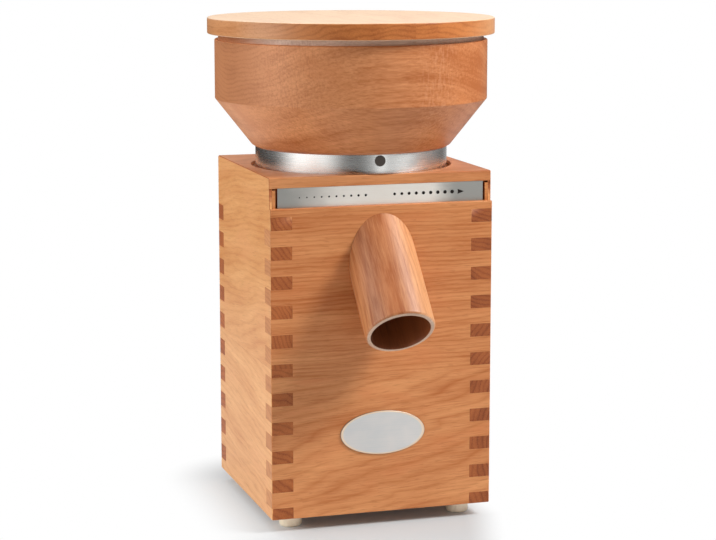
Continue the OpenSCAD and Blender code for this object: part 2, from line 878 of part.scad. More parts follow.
module ring_socket() placed() color("#E8E4DA")
    difference() {
        union() {
            flange_plate(socket_flange_z, socket_flange_h);
            translate([0, 0, socket_flange_z])
                cylinder(h = deck_z - socket_flange_z, r = socket_out_r);
        }
        translate([0, 0, socket_flange_z - over])
            cylinder(h = deck_z, r = socket_r);
        flange_holes();
    }

// ---------------------------------------------------------- milling chamber

module milling_chamber() placed() color("#D9D6CE")
    difference() {
        union() {
            translate([0, 0, motor_z])
                cylinder(h = chamber_top - motor_z, r = chamber_out_r);
            flange_plate(chamber_top - flange_h, flange_h);
            intersection() {
                along_spout()
                    translate([0, outlet_r - spout_in_r, -outlet_l])
                        cylinder(h = outlet_l, r = boss_r);
                block([-hw, -in_d, 0], [hw, boss_y, chamber_top]);
            }
        }
        translate([0, 0, floor_z])
            cylinder(h = chamber_top, r = chamber_r);
        outlet_bore();
        // seat of the shaft seal
        translate([0, 0, motor_z - over])
            cylinder(h = floor_t + 2 * over, r = seal_seat_r + snug);
        around(4, 45)
            translate([motor_bolt_circle, 0, motor_z - over]) {
                cylinder(h = floor_t + 2 * over, r = motor_bolt_r + screw_fit);
                translate([0, 0, over + floor_t / 2])
                    cylinder(h = floor_t, r = 2 * motor_bolt_r + screw_fit);
            }
        flange_holes();
    }

module shaft_seal() placed() color("#4B4B49")
    tube(motor_z, floor_t, seal_seat_r, shaft_r + seal_gap);

module chamber_screws() placed() color("silver")
    four(flange_screw, flange_screw)
        translate([0, 0, chamber_top - flange_h]) {
            translate([0, 0, -flange_screw_r])
                cylinder(h = flange_screw_r, r = 2 * flange_screw_r);
            cylinder(h = flange_h + socket_flange_h + scale_h - 4,
                     r = flange_screw_r);
        }

module motor_bolts() placed() color("silver")
    around(4, 45)
        translate([motor_bolt_circle, 0, 0]) {
            translate([0, 0, motor_z + floor_t / 2])
                cylinder(h = floor_t / 2, r = 2 * motor_bolt_r);
            translate([0, 0, motor_z - bolt_grip])
                cylinder(h = bolt_grip + floor_t / 2 + tiny, r = motor_bolt_r);
        }

// ------------------------------------------------------------- millstones

// Slanted furrows in a grinding face at height 0, cut upwards
module furrow_cuts() {
    start = breast_r * 0.45;
    slant = 14;
    around(furrows)
        translate([start, -furrow_w * 0.6, 0])
            rotate([0, 0, slant]) rotate([0, atan(furrow_d / stone_r), 0])
                translate([0, 0, -3 * furrow_d])
                    cube([stone_r * 1.1, furrow_w, 4 * furrow_d]);
}

// A stone whose grinding face looks down at height 0
module stone(t)
    difference() {
        cylinder(h = t, r = stone_r);
        translate([0, 0, -tiny])
            cylinder(h = breast_d, r1 = breast_r, r2 = eye_r);
        translate([0, 0, -over]) cylinder(h = t + 2 * over, r = eye_r);
        furrow_cuts();
    }

module upper_stone() placed() color("#E4E0D6")
    difference() {
        translate([0, 0, upper_z]) stone(upper_t);
        // pockets for the bolt heads, deep enough for the stone's travel
        around(3)
            translate([bolt_circle, 0,
                       holder_z - bolt_head_h - float_up - 0.4])
                cylinder(h = upper_t, r = bolt_head_r + 0.4);
    }

module stone_holder() placed() color(steel)
    difference() {
        tube(holder_z, carrier_t, stone_r, throat_r);
        around(3)
            translate([bolt_circle, 0, holder_z - over])
                cylinder(h = carrier_t + 2 * over, r = bolt_r + 0.3);
    }

module hanger_plate() placed() color(steel)
    difference() {
        tube(hanger_z, hanger_t, ring_in_r - seal_gap, throat_r);
        around(3)
            translate([bolt_circle, 0, hanger_z - over])
                cylinder(h = hanger_t + 2 * over, r = bolt_r + snug);
    }

module shoulder_bolts() placed() color("silver")
    around(3)
        translate([bolt_circle, 0, 0]) {
            translate([0, 0, holder_z - bolt_head_h])
                cylinder(h = bolt_head_h, r = bolt_head_r);
            translate([0, 0, holder_z - tiny])
                cylinder(h = neck_z - holder_z, r = bolt_r);
        }

module stone_springs() placed() color("silver") {
    coil_r = bolt_r + wire_r + 0.6;
    low = spring_z + wire_r;
    high = hanger_z - wire_r;
    steps = spring_turns * 14;
    around(3)
        translate([bolt_circle, 0, 0])
            sweep([for (k = [0 : steps])
                [coil_r * cos(360 * k / 14), coil_r * sin(360 * k / 14),
                 low + (high - low) * k / steps]], wire_r, 6);
}

module runner_stone() placed() color("#E4E0D6")
    difference() {
        translate([0, 0, runner_top]) mirror([0, 0, 1]) stone(runner_t);
        // recess for the washer of the nut
        translate([0, 0, washer_z]) cylinder(h = runner_t, r = washer_r + 0.3);
    }

// Plate and boss that drive the runner, with three sweeping arms
module runner_hub() placed() color(steel)
    difference() {
        union() {
            translate([0, 0, hub_z]) cylinder(h = carrier_t, r = stone_r - 2);
            translate([0, 0, hub_z])
                cylinder(h = washer_z - hub_z, r = hub_boss_r);
            around(3)
                difference() {
                    block([stone_r - 3, -arm_t / 2, hub_z],
                          [chamber_r - arm_gap, arm_t / 2, hub_z + arm_h]);
                    translate([0, 0, hub_z + carrier_t])
                        cylinder(h = runner_t, r = stone_r + 0.3);
                }
        }
        translate([0, 0, hub_z - over])
            cylinder(h = runner_t + 2 * over, r = spindle_r + snug);
    }

module runner_nut() placed() color("silver")
    difference() {
        union() {
            translate([0, 0, washer_z]) cylinder(h = washer_t, r = washer_r);
            translate([0, 0, washer_z + washer_t])
                cylinder(h = nut_h, r = nut_r, $fn = 6);
        }
        translate([0, 0, washer_z - over])
            cylinder(h = washer_t + nut_h + 2 * over, r = spindle_r + snug);
    }

// ------------------------------------------------------------------ motor

module motor_shaft() placed() color("silver") {
    translate([0, 0, shaft_z]) cylinder(h = hub_z - shaft_z, r = shaft_r);
    translate([0, 0, hub_z - tiny])
        cylinder(h = shaft_end - hub_z, r = spindle_r);
}

module rotor_core() placed() color("#8C8F91")
    difference() {
        union() {
            translate([0, 0, stack_z]) cylinder(h = stack_h, r = rotor_r);
            translate([0, 0, stack_z - end_ring_h])
                cylinder(h = stack_h + 2 * end_ring_h, r = rotor_r - end_ring_in);
        }
        translate([0, 0, stack_z - end_ring_h - over])
            cylinder(h = stack_h + 2 * (end_ring_h + over), r = shaft_r + snug);
    }

module stator_core() placed() color("#6F7478")
    translate([0, 0, stack_z])
        linear_extrude(height = stack_h)
            difference() {
                circle(r = stator_r);
                circle(r = rotor_r + air_gap);
                around(slots)
                    translate([rotor_r + air_gap + slot_in, -slot_w / 2])
                        square([stator_r - slot_out - rotor_r - air_gap - slot_in,
                                slot_w]);
            }

module stator_windings() placed() color("#B8703A") {
    inner = rotor_r + air_gap + slot_in;
    outer = stator_r - slot_out / 2;
    half = (outer - inner) / 2 - winding_round;
    rise = winding_h / 2 - winding_round;
    for (z = [stack_z - winding_h / 2, stack_z + stack_h + winding_h / 2])
        translate([0, 0, z])
            rotate_extrude()
                translate([(inner + outer) / 2, 0])
                    polygon(concat(
                        round_pts(half, rise, winding_round, 0, 90),
                        round_pts(-half, rise, winding_round, 90, 180),
                        round_pts(-half, -rise, winding_round, 180, 270),
                        round_pts(half, -rise, winding_round, 270, 360)));
}

// Shell with cooling ribs between the tie rods
module motor_shell() placed() color("#A9ADB0") {
    tube(shell_z, shell_h, motor_r, motor_r - shell_t);
    for (a = [-24 : 12 : 24])
        around(4, a)
            block([motor_r - 1, -rib_t / 2, shell_z + 4],
                  [motor_r + rib_h, rib_t / 2, shell_top - 4]);
}

// Ears that take the tie rods
module rod_ears(z)
    around(4, 45)
        difference() {
            translate([0, 0, z]) {
                translate([rod_circle, 0, 0]) cylinder(h = ear_h, r = ear_r);
                block([motor_r - 8, -ear_r, 0], [rod_circle, ear_r, ear_h]);
            }
            translate([rod_circle, 0, z - over])
                cylinder(h = ear_h + 2 * over, r = rod_r + screw_fit);
        }

module upper_end_bell() placed() color("#A9ADB0")
    difference() {
        union() {
            rotate_extrude()
                polygon([
                    [0, motor_z], [neck_bell_r, motor_z],
                    [neck_bell_r, motor_z - bolt_grip],
                    [motor_r, shell_top + ear_h + 2],
                    [motor_r, shell_top], [0, shell_top]
                ]);
            rod_ears(shell_top);
        }
        // hollow inside, with a boss round the bearing
        difference() {
            translate([0, 0, shell_top - over])
                cylinder(h = bell_hollow + over, r = motor_r - shell_t - 2);
            translate([0, 0, shell_top - 2 * over])
                cylinder(h = bell_hollow + 4 * over, r = bearing_r + bearing_boss);
        }
        translate([0, 0, shell_top - over])
            cylinder(h = upper_bearing_z + bearing_w - shell_top + over,
                     r = bearing_r + snug);
        translate([0, 0, shell_top])
            cylinder(h = upper_bell_h + over, r = shaft_r + shaft_room);
        around(4, 45)
            translate([motor_bolt_circle, 0, motor_z - bolt_grip - 2])
                cylinder(h = bolt_grip + 2 + over, r = motor_bolt_r + screw_fit);
    }

module lower_end_bell() placed() color("#A9ADB0")
    difference() {
        union() {
            translate([0, 0, cowl_top])
                cylinder(h = lower_bell_h, r = motor_r);
            rod_ears(shell_z - ear_h);
        }
        // hollow above the web, with a boss round the bearing
        difference() {
            translate([0, 0, cowl_top + web_t])
                cylinder(h = lower_bell_h, r = motor_r - shell_t);
            translate([0, 0, cowl_top])
                cylinder(h = lower_bell_h + 2 * over, r = bearing_r + bearing_boss);
        }
        translate([0, 0, lower_bearing_z])
            cylinder(h = lower_bell_h, r = bearing_r + snug);
        translate([0, 0, cowl_top - over])
            cylinder(h = lower_bell_h, r = shaft_r + shaft_room);
        // air passages in the web, half way between the bearing's boss and the wall
        around(web_holes, 180 / web_holes)
            translate([(bearing_r + bearing_boss + motor_r - shell_t) / 2, 0,
                       cowl_top - over])
                cylinder(h = web_t + 2 * over, r = 6);
    }

module motor_bearings() placed() color("silver")
    for (z = [upper_bearing_z, lower_bearing_z])
        tube(z, bearing_w, bearing_r, shaft_r + run_fit);

module tie_rods() placed() color("silver")
    around(4, 45)
        translate([rod_circle, 0, 0]) {
            low = shell_z - ear_h;
            high = shell_top + ear_h;
            translate([0, 0, low - rod_nut_h - over])
                cylinder(h = high - low + 2 * (rod_nut_h + over), r = rod_r);
            for (z = [low - rod_nut_h, high])
                translate([0, 0, z]) cylinder(h = rod_nut_h, r = rod_nut_r, $fn = 6);
        }

module cooling_fan() placed() color("#3A3D40") {
    fan_z = cowl_z + cowl_t + 3.5;
    plate = 2;                        // thickness of the plate under the blades
    boss = shaft_r + 5;
    blade_t = 1.6;
    sweep_back = 18;
    difference() {
        union() {
            translate([0, 0, fan_z]) cylinder(h = plate, r = fan_r);
            translate([0, 0, fan_z]) cylinder(h = blade_h, r = boss);
            around(blades)
                translate([boss - 2, 0, fan_z])
                    rotate([0, 0, sweep_back])
                        cube([fan_r - boss - 1, blade_t, blade_h]);
        }
        translate([0, 0, fan_z - over])
            cylinder(h = blade_h + 2 * over, r = shaft_r + snug);
    }
}

module fan_cowl() placed() color("#3A3D40")
    difference() {
        translate([0, 0, cowl_z]) cylinder(h = cowl_h, r = fan_r + fan_gap + cowl_t);
        translate([0, 0, cowl_z + cowl_t])
            cylinder(h = cowl_h, r = fan_r + fan_gap);
        // air holes, and room for the shaft's end
        around(10)
            translate([fan_r * 0.72, 0, cowl_z - over])
                cylinder(h = cowl_t + 2 * over, r = 6);
        translate([0, 0, cowl_z - over])
            cylinder(h = cowl_t + 2 * over, r = 2 * shaft_r - 1);
    }

// ------------------------------------------------------ electrical pieces

module capacitor() placed() color("#DADADA")
    translate([cap_x, 0, cap_z]) rotate([90, 0, 0]) {
        cylinder(h = cap_len, r = cap_r, center = true);
        translate([0, 0, -cap_len / 2 - cap_lip]) cylinder(h = cap_len, r = cap_r - 2);
        for (s = [-1, 1])
            translate([s * cap_r / 3, 0, -(cap_len + tab_l) / 2])
                cube([3, tab_t, tab_l], center = true);
    }

// Strap over the capacitor, screwed to the base board
module capacitor_strap() placed() color("#3A3D40")
    translate([cap_x, strap_w / 2, 0])
        difference() {
            union() {
                block([-cap_r - strap_foot, -strap_w, base_t],
                      [cap_r + strap_foot, 0, base_t + 2]);
                block([-cap_r - strap_t, -strap_w, base_t],
                      [cap_r + strap_t, 0, cap_z]);
                translate([0, 0, cap_z]) rotate([90, 0, 0])
                    cylinder(h = strap_w, r = cap_r + strap_t);
            }
            translate([0, over, cap_z]) rotate([90, 0, 0])
                cylinder(h = strap_w + 2 * over, r = cap_r + snug);
        }

module terminal_block() placed() color("#ECE9E0")
    translate([block_x, block_y, base_t])
        difference() {
            union() {
                block([-1.5 * block_pitch, -block_d / 2 - 2, 0],
                      [1.5 * block_pitch, block_d / 2 + 2, block_foot]);
                for (k = [-1 : 1])
                    block([block_pitch * k - block_w / 2, -block_d / 2, 0],
                          [block_pitch * k + block_w / 2, block_d / 2, block_h]);
            }
            for (k = [-1 : 1])
                translate([block_pitch * k, 0, 0]) {
                    translate([0, 0, lead_z - base_t]) rotate([90, 0, 0])
                        cylinder(h = block_d + 2 * over, r = 2 * lead_r,
                                 center = true);
                    translate([0, 0, lead_z - base_t])
                        cylinder(h = block_h, r = 2.5 * lead_r);
                }
        }

// Two leads from the terminals to the switch, and one to the capacitor
module lead_wires() placed() color("#5C7FA8") {
    back_y = block_y + block_d / 2 + lead_gap;
    front_y = block_y - block_d / 2 - lead_gap;
    tab_x = switch_back - tab_l - lead_gap;
    for (s = [-1, 1]) {
        side_x = block_x + block_pitch * (s + 1) / 2;
        sweep(bend([side_x, front_y, lead_z], [side_x, front_y - lead_run, lead_z],
                   [tab_x - lead_run, switch_y, switch_z + tab_z * s],
                   [tab_x, switch_y, switch_z + tab_z * s]),
              lead_r);
    }
    cap_tab = cap_len / 2 + tab_l;
    sweep(bend([block_x - block_pitch, back_y, lead_z],
               [block_x - block_pitch, back_y + lead_run, lead_z],
               [cap_x + cap_r / 3, cap_tab + lead_run, cap_z],
               [cap_x + cap_r / 3, cap_tab + lead_gap, cap_z]),
          lead_r);
}

// --------------------------------------------------------------- switch

// A block round the switch's middle, from x0 to x1, w wide and h high
module switch_block(x0, x1, w, h)
    translate([(x0 + x1) / 2, switch_y, switch_z])
        cube([x1 - x0, w, h], center = true);

// The pins that the rocker turns on, and with a clearance their holes
module trunnions(clear)
    translate([pivot_x, switch_y, switch_z]) rotate([90, 0, 0])
        cylinder(h = rocker_w + 2 * (trunnion_l + clear), r = trunnion_r + clear,
                 center = true);

module switch_frame() placed() color("#1D1E20")
    difference() {
        union() {
            switch_block(hw, hw + bezel_h, switch_w, switch_h);
            switch_block(switch_back, hw + bezel_h / 2, switch_w - 2 * bezel_w,
                         switch_h - 2 * bezel_w);
            // tabs for the leads
            for (s = [-1, 1])
                translate([0, 0, tab_z * s])
                    switch_block(switch_back - tab_l, switch_back + tiny, tab_w,
                                 tab_t);
        }
        switch_block(pivot_x - rocker_depth, hw + bezel_h + over,
                     rocker_w + 2 * rocker_gap, rocker_h + 2 * rocker_gap);
        trunnions(run_fit);
    }

// Two slanting faces that meet over the pivot, in section, and the pins
module switch_rocker() placed() color("#2A2B2E") {
    half = rocker_h / 2 * cos(rock_tilt) - rocker_round;
    edge = rocker_face + rocker_h / 2 * sin(rock_tilt);
    translate([pivot_x, switch_y, switch_z])
        rotate([0, -rock_tilt, 0]) rotate([90, 0, 0])
            linear_extrude(height = rocker_w, center = true)
                polygon([
                    [edge, half], [rocker_face, 0], [edge, -half],
                    [-trunnion_r, -half], [-rocker_face, 0], [-trunnion_r, half]
                ]);
    trunnions(0);
}

// ---------------------------------------------------------- cord inlet

module cord_inlet() placed() color("#1D1E20")
    translate([inlet_x, 0, inlet_z])
        difference() {
            rotate([-90, 0, 0])
                rotate_extrude($fn = 48)
                    polygon([
                        [0, in_d - 1], [inlet_r, in_d - 1], [inlet_r, hd],
                        [inlet_hex, hd], [inlet_hex, hd + 2],
                        [inlet_hex - 2.5, hd + inlet_head], [0, hd + inlet_head]
                    ]);
            translate([0, in_d - 2 * over, 0]) rotate([-90, 0, 0])
                cylinder(h = wall + 3 * inlet_head, r = cord_r);
        }

module inlet_nut() placed() color("#1D1E20")
    translate([inlet_x, in_d + wall / 2 - inlet_nut_h, inlet_z])
        rotate([-90, 0, 0])
            difference() {
                cylinder(h = inlet_nut_h, r = inlet_hex, $fn = 6);
                translate([0, 0, -over])
                    cylinder(h = inlet_nut_h + 2 * over, r = inlet_r + snug);
            }

front_panel();
back_panel();
left_panel();
right_panel();
top_board();
base_board();
base_screws();
feet();
foot_screws();
scale_rail();
scale_plate();
badge();
spout();
hopper_bowl();
hopper_band();
band_marker();
hopper_ring();
hopper_ring_screws();
dust_seal();
lid();
hanger_plate();
shoulder_bolts();
stone_springs();
stone_holder();
upper_stone();
ring_socket();
milling_chamber();
chamber_screws();
shaft_seal();
runner_stone();
runner_hub();
runner_nut();
motor_shaft();
rotor_core();
cooling_fan();
upper_end_bell();
lower_end_bell();
motor_shell();
stator_core();
stator_windings();
motor_bearings();
motor_bolts();
tie_rods();
fan_cowl();
capacitor();
capacitor_strap();
terminal_block();
lead_wires();
switch_frame();
switch_rocker();
cord_inlet();
inlet_nut();
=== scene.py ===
import json
import math

import bmesh
import bpy
from mathutils import Matrix, Vector


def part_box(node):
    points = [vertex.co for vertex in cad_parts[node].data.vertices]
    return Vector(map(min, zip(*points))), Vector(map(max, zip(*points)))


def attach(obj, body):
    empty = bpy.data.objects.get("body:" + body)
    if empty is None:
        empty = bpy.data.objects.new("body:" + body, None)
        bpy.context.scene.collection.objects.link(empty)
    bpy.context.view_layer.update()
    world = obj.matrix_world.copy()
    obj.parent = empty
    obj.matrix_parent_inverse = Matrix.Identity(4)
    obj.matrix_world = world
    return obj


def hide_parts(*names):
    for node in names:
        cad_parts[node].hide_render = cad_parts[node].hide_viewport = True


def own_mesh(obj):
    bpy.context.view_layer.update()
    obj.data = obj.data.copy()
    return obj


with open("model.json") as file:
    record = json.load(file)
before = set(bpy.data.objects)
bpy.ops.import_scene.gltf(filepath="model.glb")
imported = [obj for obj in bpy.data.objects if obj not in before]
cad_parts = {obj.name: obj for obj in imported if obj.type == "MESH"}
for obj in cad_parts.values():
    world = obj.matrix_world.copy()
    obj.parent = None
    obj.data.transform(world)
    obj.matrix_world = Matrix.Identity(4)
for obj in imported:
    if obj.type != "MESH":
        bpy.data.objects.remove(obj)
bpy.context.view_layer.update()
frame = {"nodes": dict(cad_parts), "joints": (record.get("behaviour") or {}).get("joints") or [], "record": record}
nodes = frame["nodes"]
scene = bpy.context.scene
mm = 0.001

print("frame loaded:", len(nodes), "nodes")

# everything that is turned stands on the hopper's axis
boxLow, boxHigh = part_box("front_panel")
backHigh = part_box("back_panel")[1]
axis = Vector((0, (boxLow.y + backHigh.y) / 2, boxLow.z))
halfWidth = boxHigh.x
halfDepth = backHigh.y - axis.y
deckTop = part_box("top_board")[1].z
ledgeTop = boxHigh.z
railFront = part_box("scale_rail")[0].y


def srgb(red, green, blue):  # a screen colour, 0 to 255, as linear light
    channels = [value / 255 for value in (red, green, blue)]
    return tuple(c / 12.92 if c <= 0.04045 else ((c + 0.055) / 1.055) ** 2.4 for c in channels) + (1,)


class Term:  # one socket, so that shader maths can be written as sums
    def __init__(self, finish, socket):
        self.finish = finish
        self.socket = socket

    def other(self, name):
        return Term(self.finish, self.socket.node.outputs[name])

    def __add__(self, other):
        return self.finish.maths("ADD", self, other)

    def __radd__(self, other):
        return self.finish.maths("ADD", other, self)

    def __sub__(self, other):
        return self.finish.maths("SUBTRACT", self, other)

    def __rsub__(self, other):
        return self.finish.maths("SUBTRACT", other, self)

    def __mul__(self, other):
        return self.finish.maths("MULTIPLY", self, other)

    def __rmul__(self, other):
        return self.finish.maths("MULTIPLY", other, self)

    def __truediv__(self, other):
        return self.finish.maths("DIVIDE", self, other)

    def __pow__(self, other):
        return self.finish.maths("POWER", self, other)


class Finish:  # a material, or the world, while it is being put together
    def __init__(self, name, owner=None):
        self.material = owner or bpy.data.materials.new(name)
        self.material.use_nodes = True
        self.tree = self.material.node_tree
        self.tree.nodes.clear()

    def add(self, kind, settings=None, inputs=None, output=0):
        node = self.tree.nodes.new(kind)
        for name, value in (settings or {}).items():
            if name != "stops":
                setattr(node, name, value)
                continue
            for inner in value[1:-1]:
                node.color_ramp.elements.new(inner[0])
            for stop, (position, shade) in zip(node.color_ramp.elements, value):
                stop.position = position
                stop.color = (shade, shade, shade, 1)
        for key, value in (inputs or {}).items():
            if isinstance(value, Term):
                self.tree.links.new(value.socket, node.inputs[key])
            else:
                node.inputs[key].default_value = value
        return Term(self, node.outputs[output] if node.outputs else None)

    def maths(self, operation, *values):
        return self.add("ShaderNodeMath", {"operation": operation}, dict(enumerate(values)))

    def mix(self, first, second, amount):
        settings = {"data_type": "RGBA", "clamp_factor": True}
        return self.add("ShaderNodeMix", settings, {0: amount, 6: first, 7: second}, 2)

    def noise(self, place, sizes, detail=2, roughness=0.5, distortion=0):
        scaled = self.add("ShaderNodeVectorMath", {"operation": "MULTIPLY"},
                          {0: place, 1: [1 / size for size in sizes]})
        return self.add("ShaderNodeTexNoise", {},
                        {"Vector": scaled, "Scale": 1, "Detail": detail,
                         "Roughness": roughness, "Distortion": distortion}, "Fac")

    def ramp(self, value, low, high):  # 0 below low, 1 above high, soft between
        return self.add("ShaderNodeMapRange", {"interpolation_type": "SMOOTHSTEP"},
                        {"Value": value, "From Min": low, "From Max": high})

    def size(self, value):  # the value without its sign
        return self.maths("ABSOLUTE", value)

    def larger(self, first, second):
        return self.maths("MAXIMUM", first, second)

    def place(self):  # object coordinates in millimetres, so that they ride along
        here = self.add("ShaderNodeTexCoord", output="Object")
        return self.add("ShaderNodeVectorMath", {"operation": "SCALE"}, {0: here, "Scale": 1 / mm})

    def split(self, place):
        x = self.add("ShaderNodeSeparateXYZ", {}, {0: place}, "X")
        return x, x.other("Y"), x.other("Z")

    def bump(self, height, distance, strength=1.0):
        return self.add("ShaderNodeBump", {},
                        {"Height": height, "Distance": distance, "Strength": strength}, "Normal")

    def close(self, **sockets):
        inputs = {name.replace("_", " "): value for name, value in sockets.items()}
        surface = self.add("ShaderNodeBsdfPrincipled", {}, inputs)
        self.add("ShaderNodeOutputMaterial", {}, {"Surface": surface})
        return self.material


# what all the beech shares; noise sizes are in millimetres along the grain, in depth and across
wood = {
    "wobble": (120, 28, 28), "ripple": (20, 5, 5), "fibre": (12, 0.5, 0.5), "cloud": (50, 18, 18),
    "pore": (2.5, 0.8, 0.8),
    "year": (0.4, 0.006, 0.01),  # how fast the years change in shade: per ring, along and in depth
    "apart": (63, 41, 29),  # from one stave's place in the tree to the next one's
    "middle": 0.42, "lateEdge": 2.5,
    "blush": {"span": (0.0, 0.22), "strength": 0.45},
    "rays": {"span": (0.52, 0.64), "inner": 0.3},
    "ends": {"pores": 0.9, "years": 0.8, "clouds": 0.8, "middle": 0.3},
    "seam": {"half": 0.2, "strength": 0.14},
    "relief": {"fibres": 0.5, "late": 0.2, "flecks": 0.3, "height": 0.05, "strength": 0.6},
    "roughSpread": 0.1,
}


def growthRings(finish, local, stave):  # counts the year rings out from the stave's pith
    along, depth, width = finish.split(local)
    inward = depth - stave["pith"][0] - along * stave["lean"][0]
    sideways = width - stave["pith"][1] - along * stave["lean"][1]
    radius = (inward * inward + sideways * sideways) ** 0.5
    wobble = finish.noise(local, wood["wobble"], detail=2) - 0.5
    ripple = finish.noise(local, wood["ripple"], detail=2) - 0.5
    return (radius + wobble * stave["wobble"] + ripple * stave["ripple"]) / stave["pitch"]


def makeBeech(name, look):
    finish = Finish(name)
    grain = Vector(look["grain"]).normalized()
    across = Vector(look["across"]).normalized()
    turn = Matrix((grain, across.cross(grain), across))
    here = finish.add("ShaderNodeTexCoord", output="Object")
    local = finish.add("ShaderNodeMapping", {},
                       {"Vector": here, "Rotation": turn.to_euler(), "Scale": (1 / mm,) * 3,
                        "Location": turn @ Vector(look["centre"]) / -mm})
    along, depth, width = finish.split(local)

    # the staves lie side by side across the width, each cut from another place in the tree
    first = look["staves"][0]
    rings = growthRings(finish, local, first)
    tone, slope, glue = first["tone"], first["slope"], 0.0
    for before, stave in zip(look["staves"], look["staves"][1:]):
        past = finish.maths("GREATER_THAN", width, stave["from"])
        rings = rings + (growthRings(finish, local, stave) - rings) * past
        tone = past * (stave["tone"] - before["tone"]) + tone
        slope = past * (stave["slope"] - before["slope"]) + slope
        moved = finish.add("ShaderNodeVectorMath", {"operation": "SCALE"}, {0: wood["apart"], "Scale": past})
        local = finish.add("ShaderNodeVectorMath", {"operation": "ADD"}, {0: local, 1: moved})
        glue = finish.maths("COMPARE", width, stave["from"], wood["seam"]["half"]) + glue

    local = finish.add("ShaderNodeVectorMath", {"operation": "SUBTRACT"},
                       {0: local, 1: finish.add("ShaderNodeCombineXYZ", {}, {"Z": along * slope})})
    phase = finish.maths("FRACT", rings)
    late = (1 - finish.size(phase * 2 - 1)) ** wood["lateEdge"]
    perRing, perLength, perDepth = wood["year"]
    yearPlace = finish.add("ShaderNodeCombineXYZ", {},
                           {"X": rings * perRing, "Y": along * perLength, "Z": depth * perDepth})
    years = finish.noise(yearPlace, (1, 1, 1), detail=2, roughness=0.6) - 0.5
    streaks = finish.noise(local, look["streak"], detail=3, roughness=0.6) - 0.5
    fibres = finish.noise(local, wood["fibre"], detail=3, roughness=0.65)
    clouds = finish.noise(local, wood["cloud"], detail=2) - 0.5
    fleck = look["fleck"]
    flecks = finish.ramp(finish.noise(local, fleck["size"], detail=1.5, distortion=0.3),
                         fleck["low"], fleck["high"])

    # painted shade: darker towards one end of the grain and lighter towards the other, as light falls across the
    # piece
    tone = along * look["drift"] + tone
    shade = (years * look["years"] + late * look["late"] + streaks * look["streaks"]
             + (fibres - 0.5) * look["fibres"] + clouds * look["clouds"] + tone + wood["middle"])
    if "sapwood" in look:  # painted highlight: one side of the piece is paler, as if lit
        shade = shade - finish.ramp(width, *look["sapwood"]["span"]) * look["sapwood"]["pale"]
    colour = finish.mix(look["light"], look["dark"], shade)
    blush = finish.ramp(clouds * -1, *wood["blush"]["span"]) * wood["blush"]["strength"]
    colour = finish.mix(colour, look["blush"], blush)
    colour = finish.mix(colour, fleck["colour"], flecks * fleck["strength"])

    for ray in look.get("rays", ()):  # upright dashes where the rays of the wood are cut
        specks = finish.noise(local, ray["size"], detail=1, distortion=0.5)
        dashes = finish.ramp(specks, *wood["rays"]["span"])
        inner = ray["reach"] * wood["rays"]["inner"]
        zone = finish.ramp(finish.size(along - ray["middle"]), ray["reach"], inner)
        colour = finish.mix(colour, ray["colour"], dashes * zone * ray["strength"])

    end = look["end"]
    facing = finish.add("ShaderNodeTexCoord", output="Normal")
    turned = finish.add("ShaderNodeVectorMath", {"operation": "DOT_PRODUCT"}, {0: facing, 1: grain}, "Value")
    ends = finish.ramp(finish.size(turned), end["low"], end["high"])
    pores = finish.noise(local, wood["pore"], detail=2) - 0.5
    weight = wood["ends"]
    # the same painted shade along the grain reaches the end grain too
    endShade = (late * end["lines"] + pores * weight["pores"] + years * weight["years"]
                + clouds * weight["clouds"] + along * look["drift"] + weight["middle"])
    colour = finish.mix(colour, finish.mix(end["light"], end["dark"], endShade), ends)
    if len(look["staves"]) > 1:
        colour = finish.mix(colour, end["dark"], glue * wood["seam"]["strength"])

    relief, spread = wood["relief"], wood["roughSpread"]
    height = fibres * relief["fibres"] + late * relief["late"] - flecks * relief["flecks"]
    normal = finish.bump(height, relief["height"] * mm, relief["strength"])
    rough = fibres * spread + ends * spread + (look["rough"] - spread / 2)
    return finish.close(Base_Color=colour, Roughness=rough, Normal=normal, Specular_IOR_Level=look["gloss"])


# what all plastics and all metals share
plastic = {"cloud": (14, 14, 14), "cloudShare": 0.7, "grainShare": 0.3, "roughSpread": 0.08, "bump": 0.5}
metal = {"cloud": (30, 30, 30), "cloudShare": 0.25, "streakShare": 0.75, "cloudRough": 0.06,
         "streakRough": 0.16, "bump": 0.5}


def makePlastic(name, look):
    finish = Finish(name)
    here = finish.place()
    grains = finish.noise(here, (look["grain"],) * 3, detail=2)
    cloud = finish.noise(here, plastic["cloud"], detail=3)
    colour = finish.mix(look["dark"], look["light"],
                        cloud * plastic["cloudShare"] + grains * plastic["grainShare"])
    normal = finish.bump(grains, look["relief"] * mm, plastic["bump"])
    return finish.close(Base_Color=colour, Roughness=cloud * plastic["roughSpread"] + look["rough"],
                        Normal=normal, Specular_IOR_Level=look.get("gloss", 0.5))


def makeMetal(name, look):  # streak lengths are given along X, Y and Z
    finish = Finish(name)
    here = finish.place()
    streaks = finish.noise(here, look["streak"], detail=3, roughness=0.65)
    cloud = finish.noise(here, metal["cloud"], detail=2)
    colour = finish.mix(look["dark"], look["light"],
                        streaks * metal["streakShare"] + cloud * metal["cloudShare"])
    rough = (streaks - 0.5) * metal["streakRough"] + (cloud - 0.5) * metal["cloudRough"] + look["rough"]
    normal = finish.bump(streaks, look["relief"] * mm, metal["bump"])
    return finish.close(Base_Color=colour, Metallic=1.0, Roughness=rough, Normal=normal)


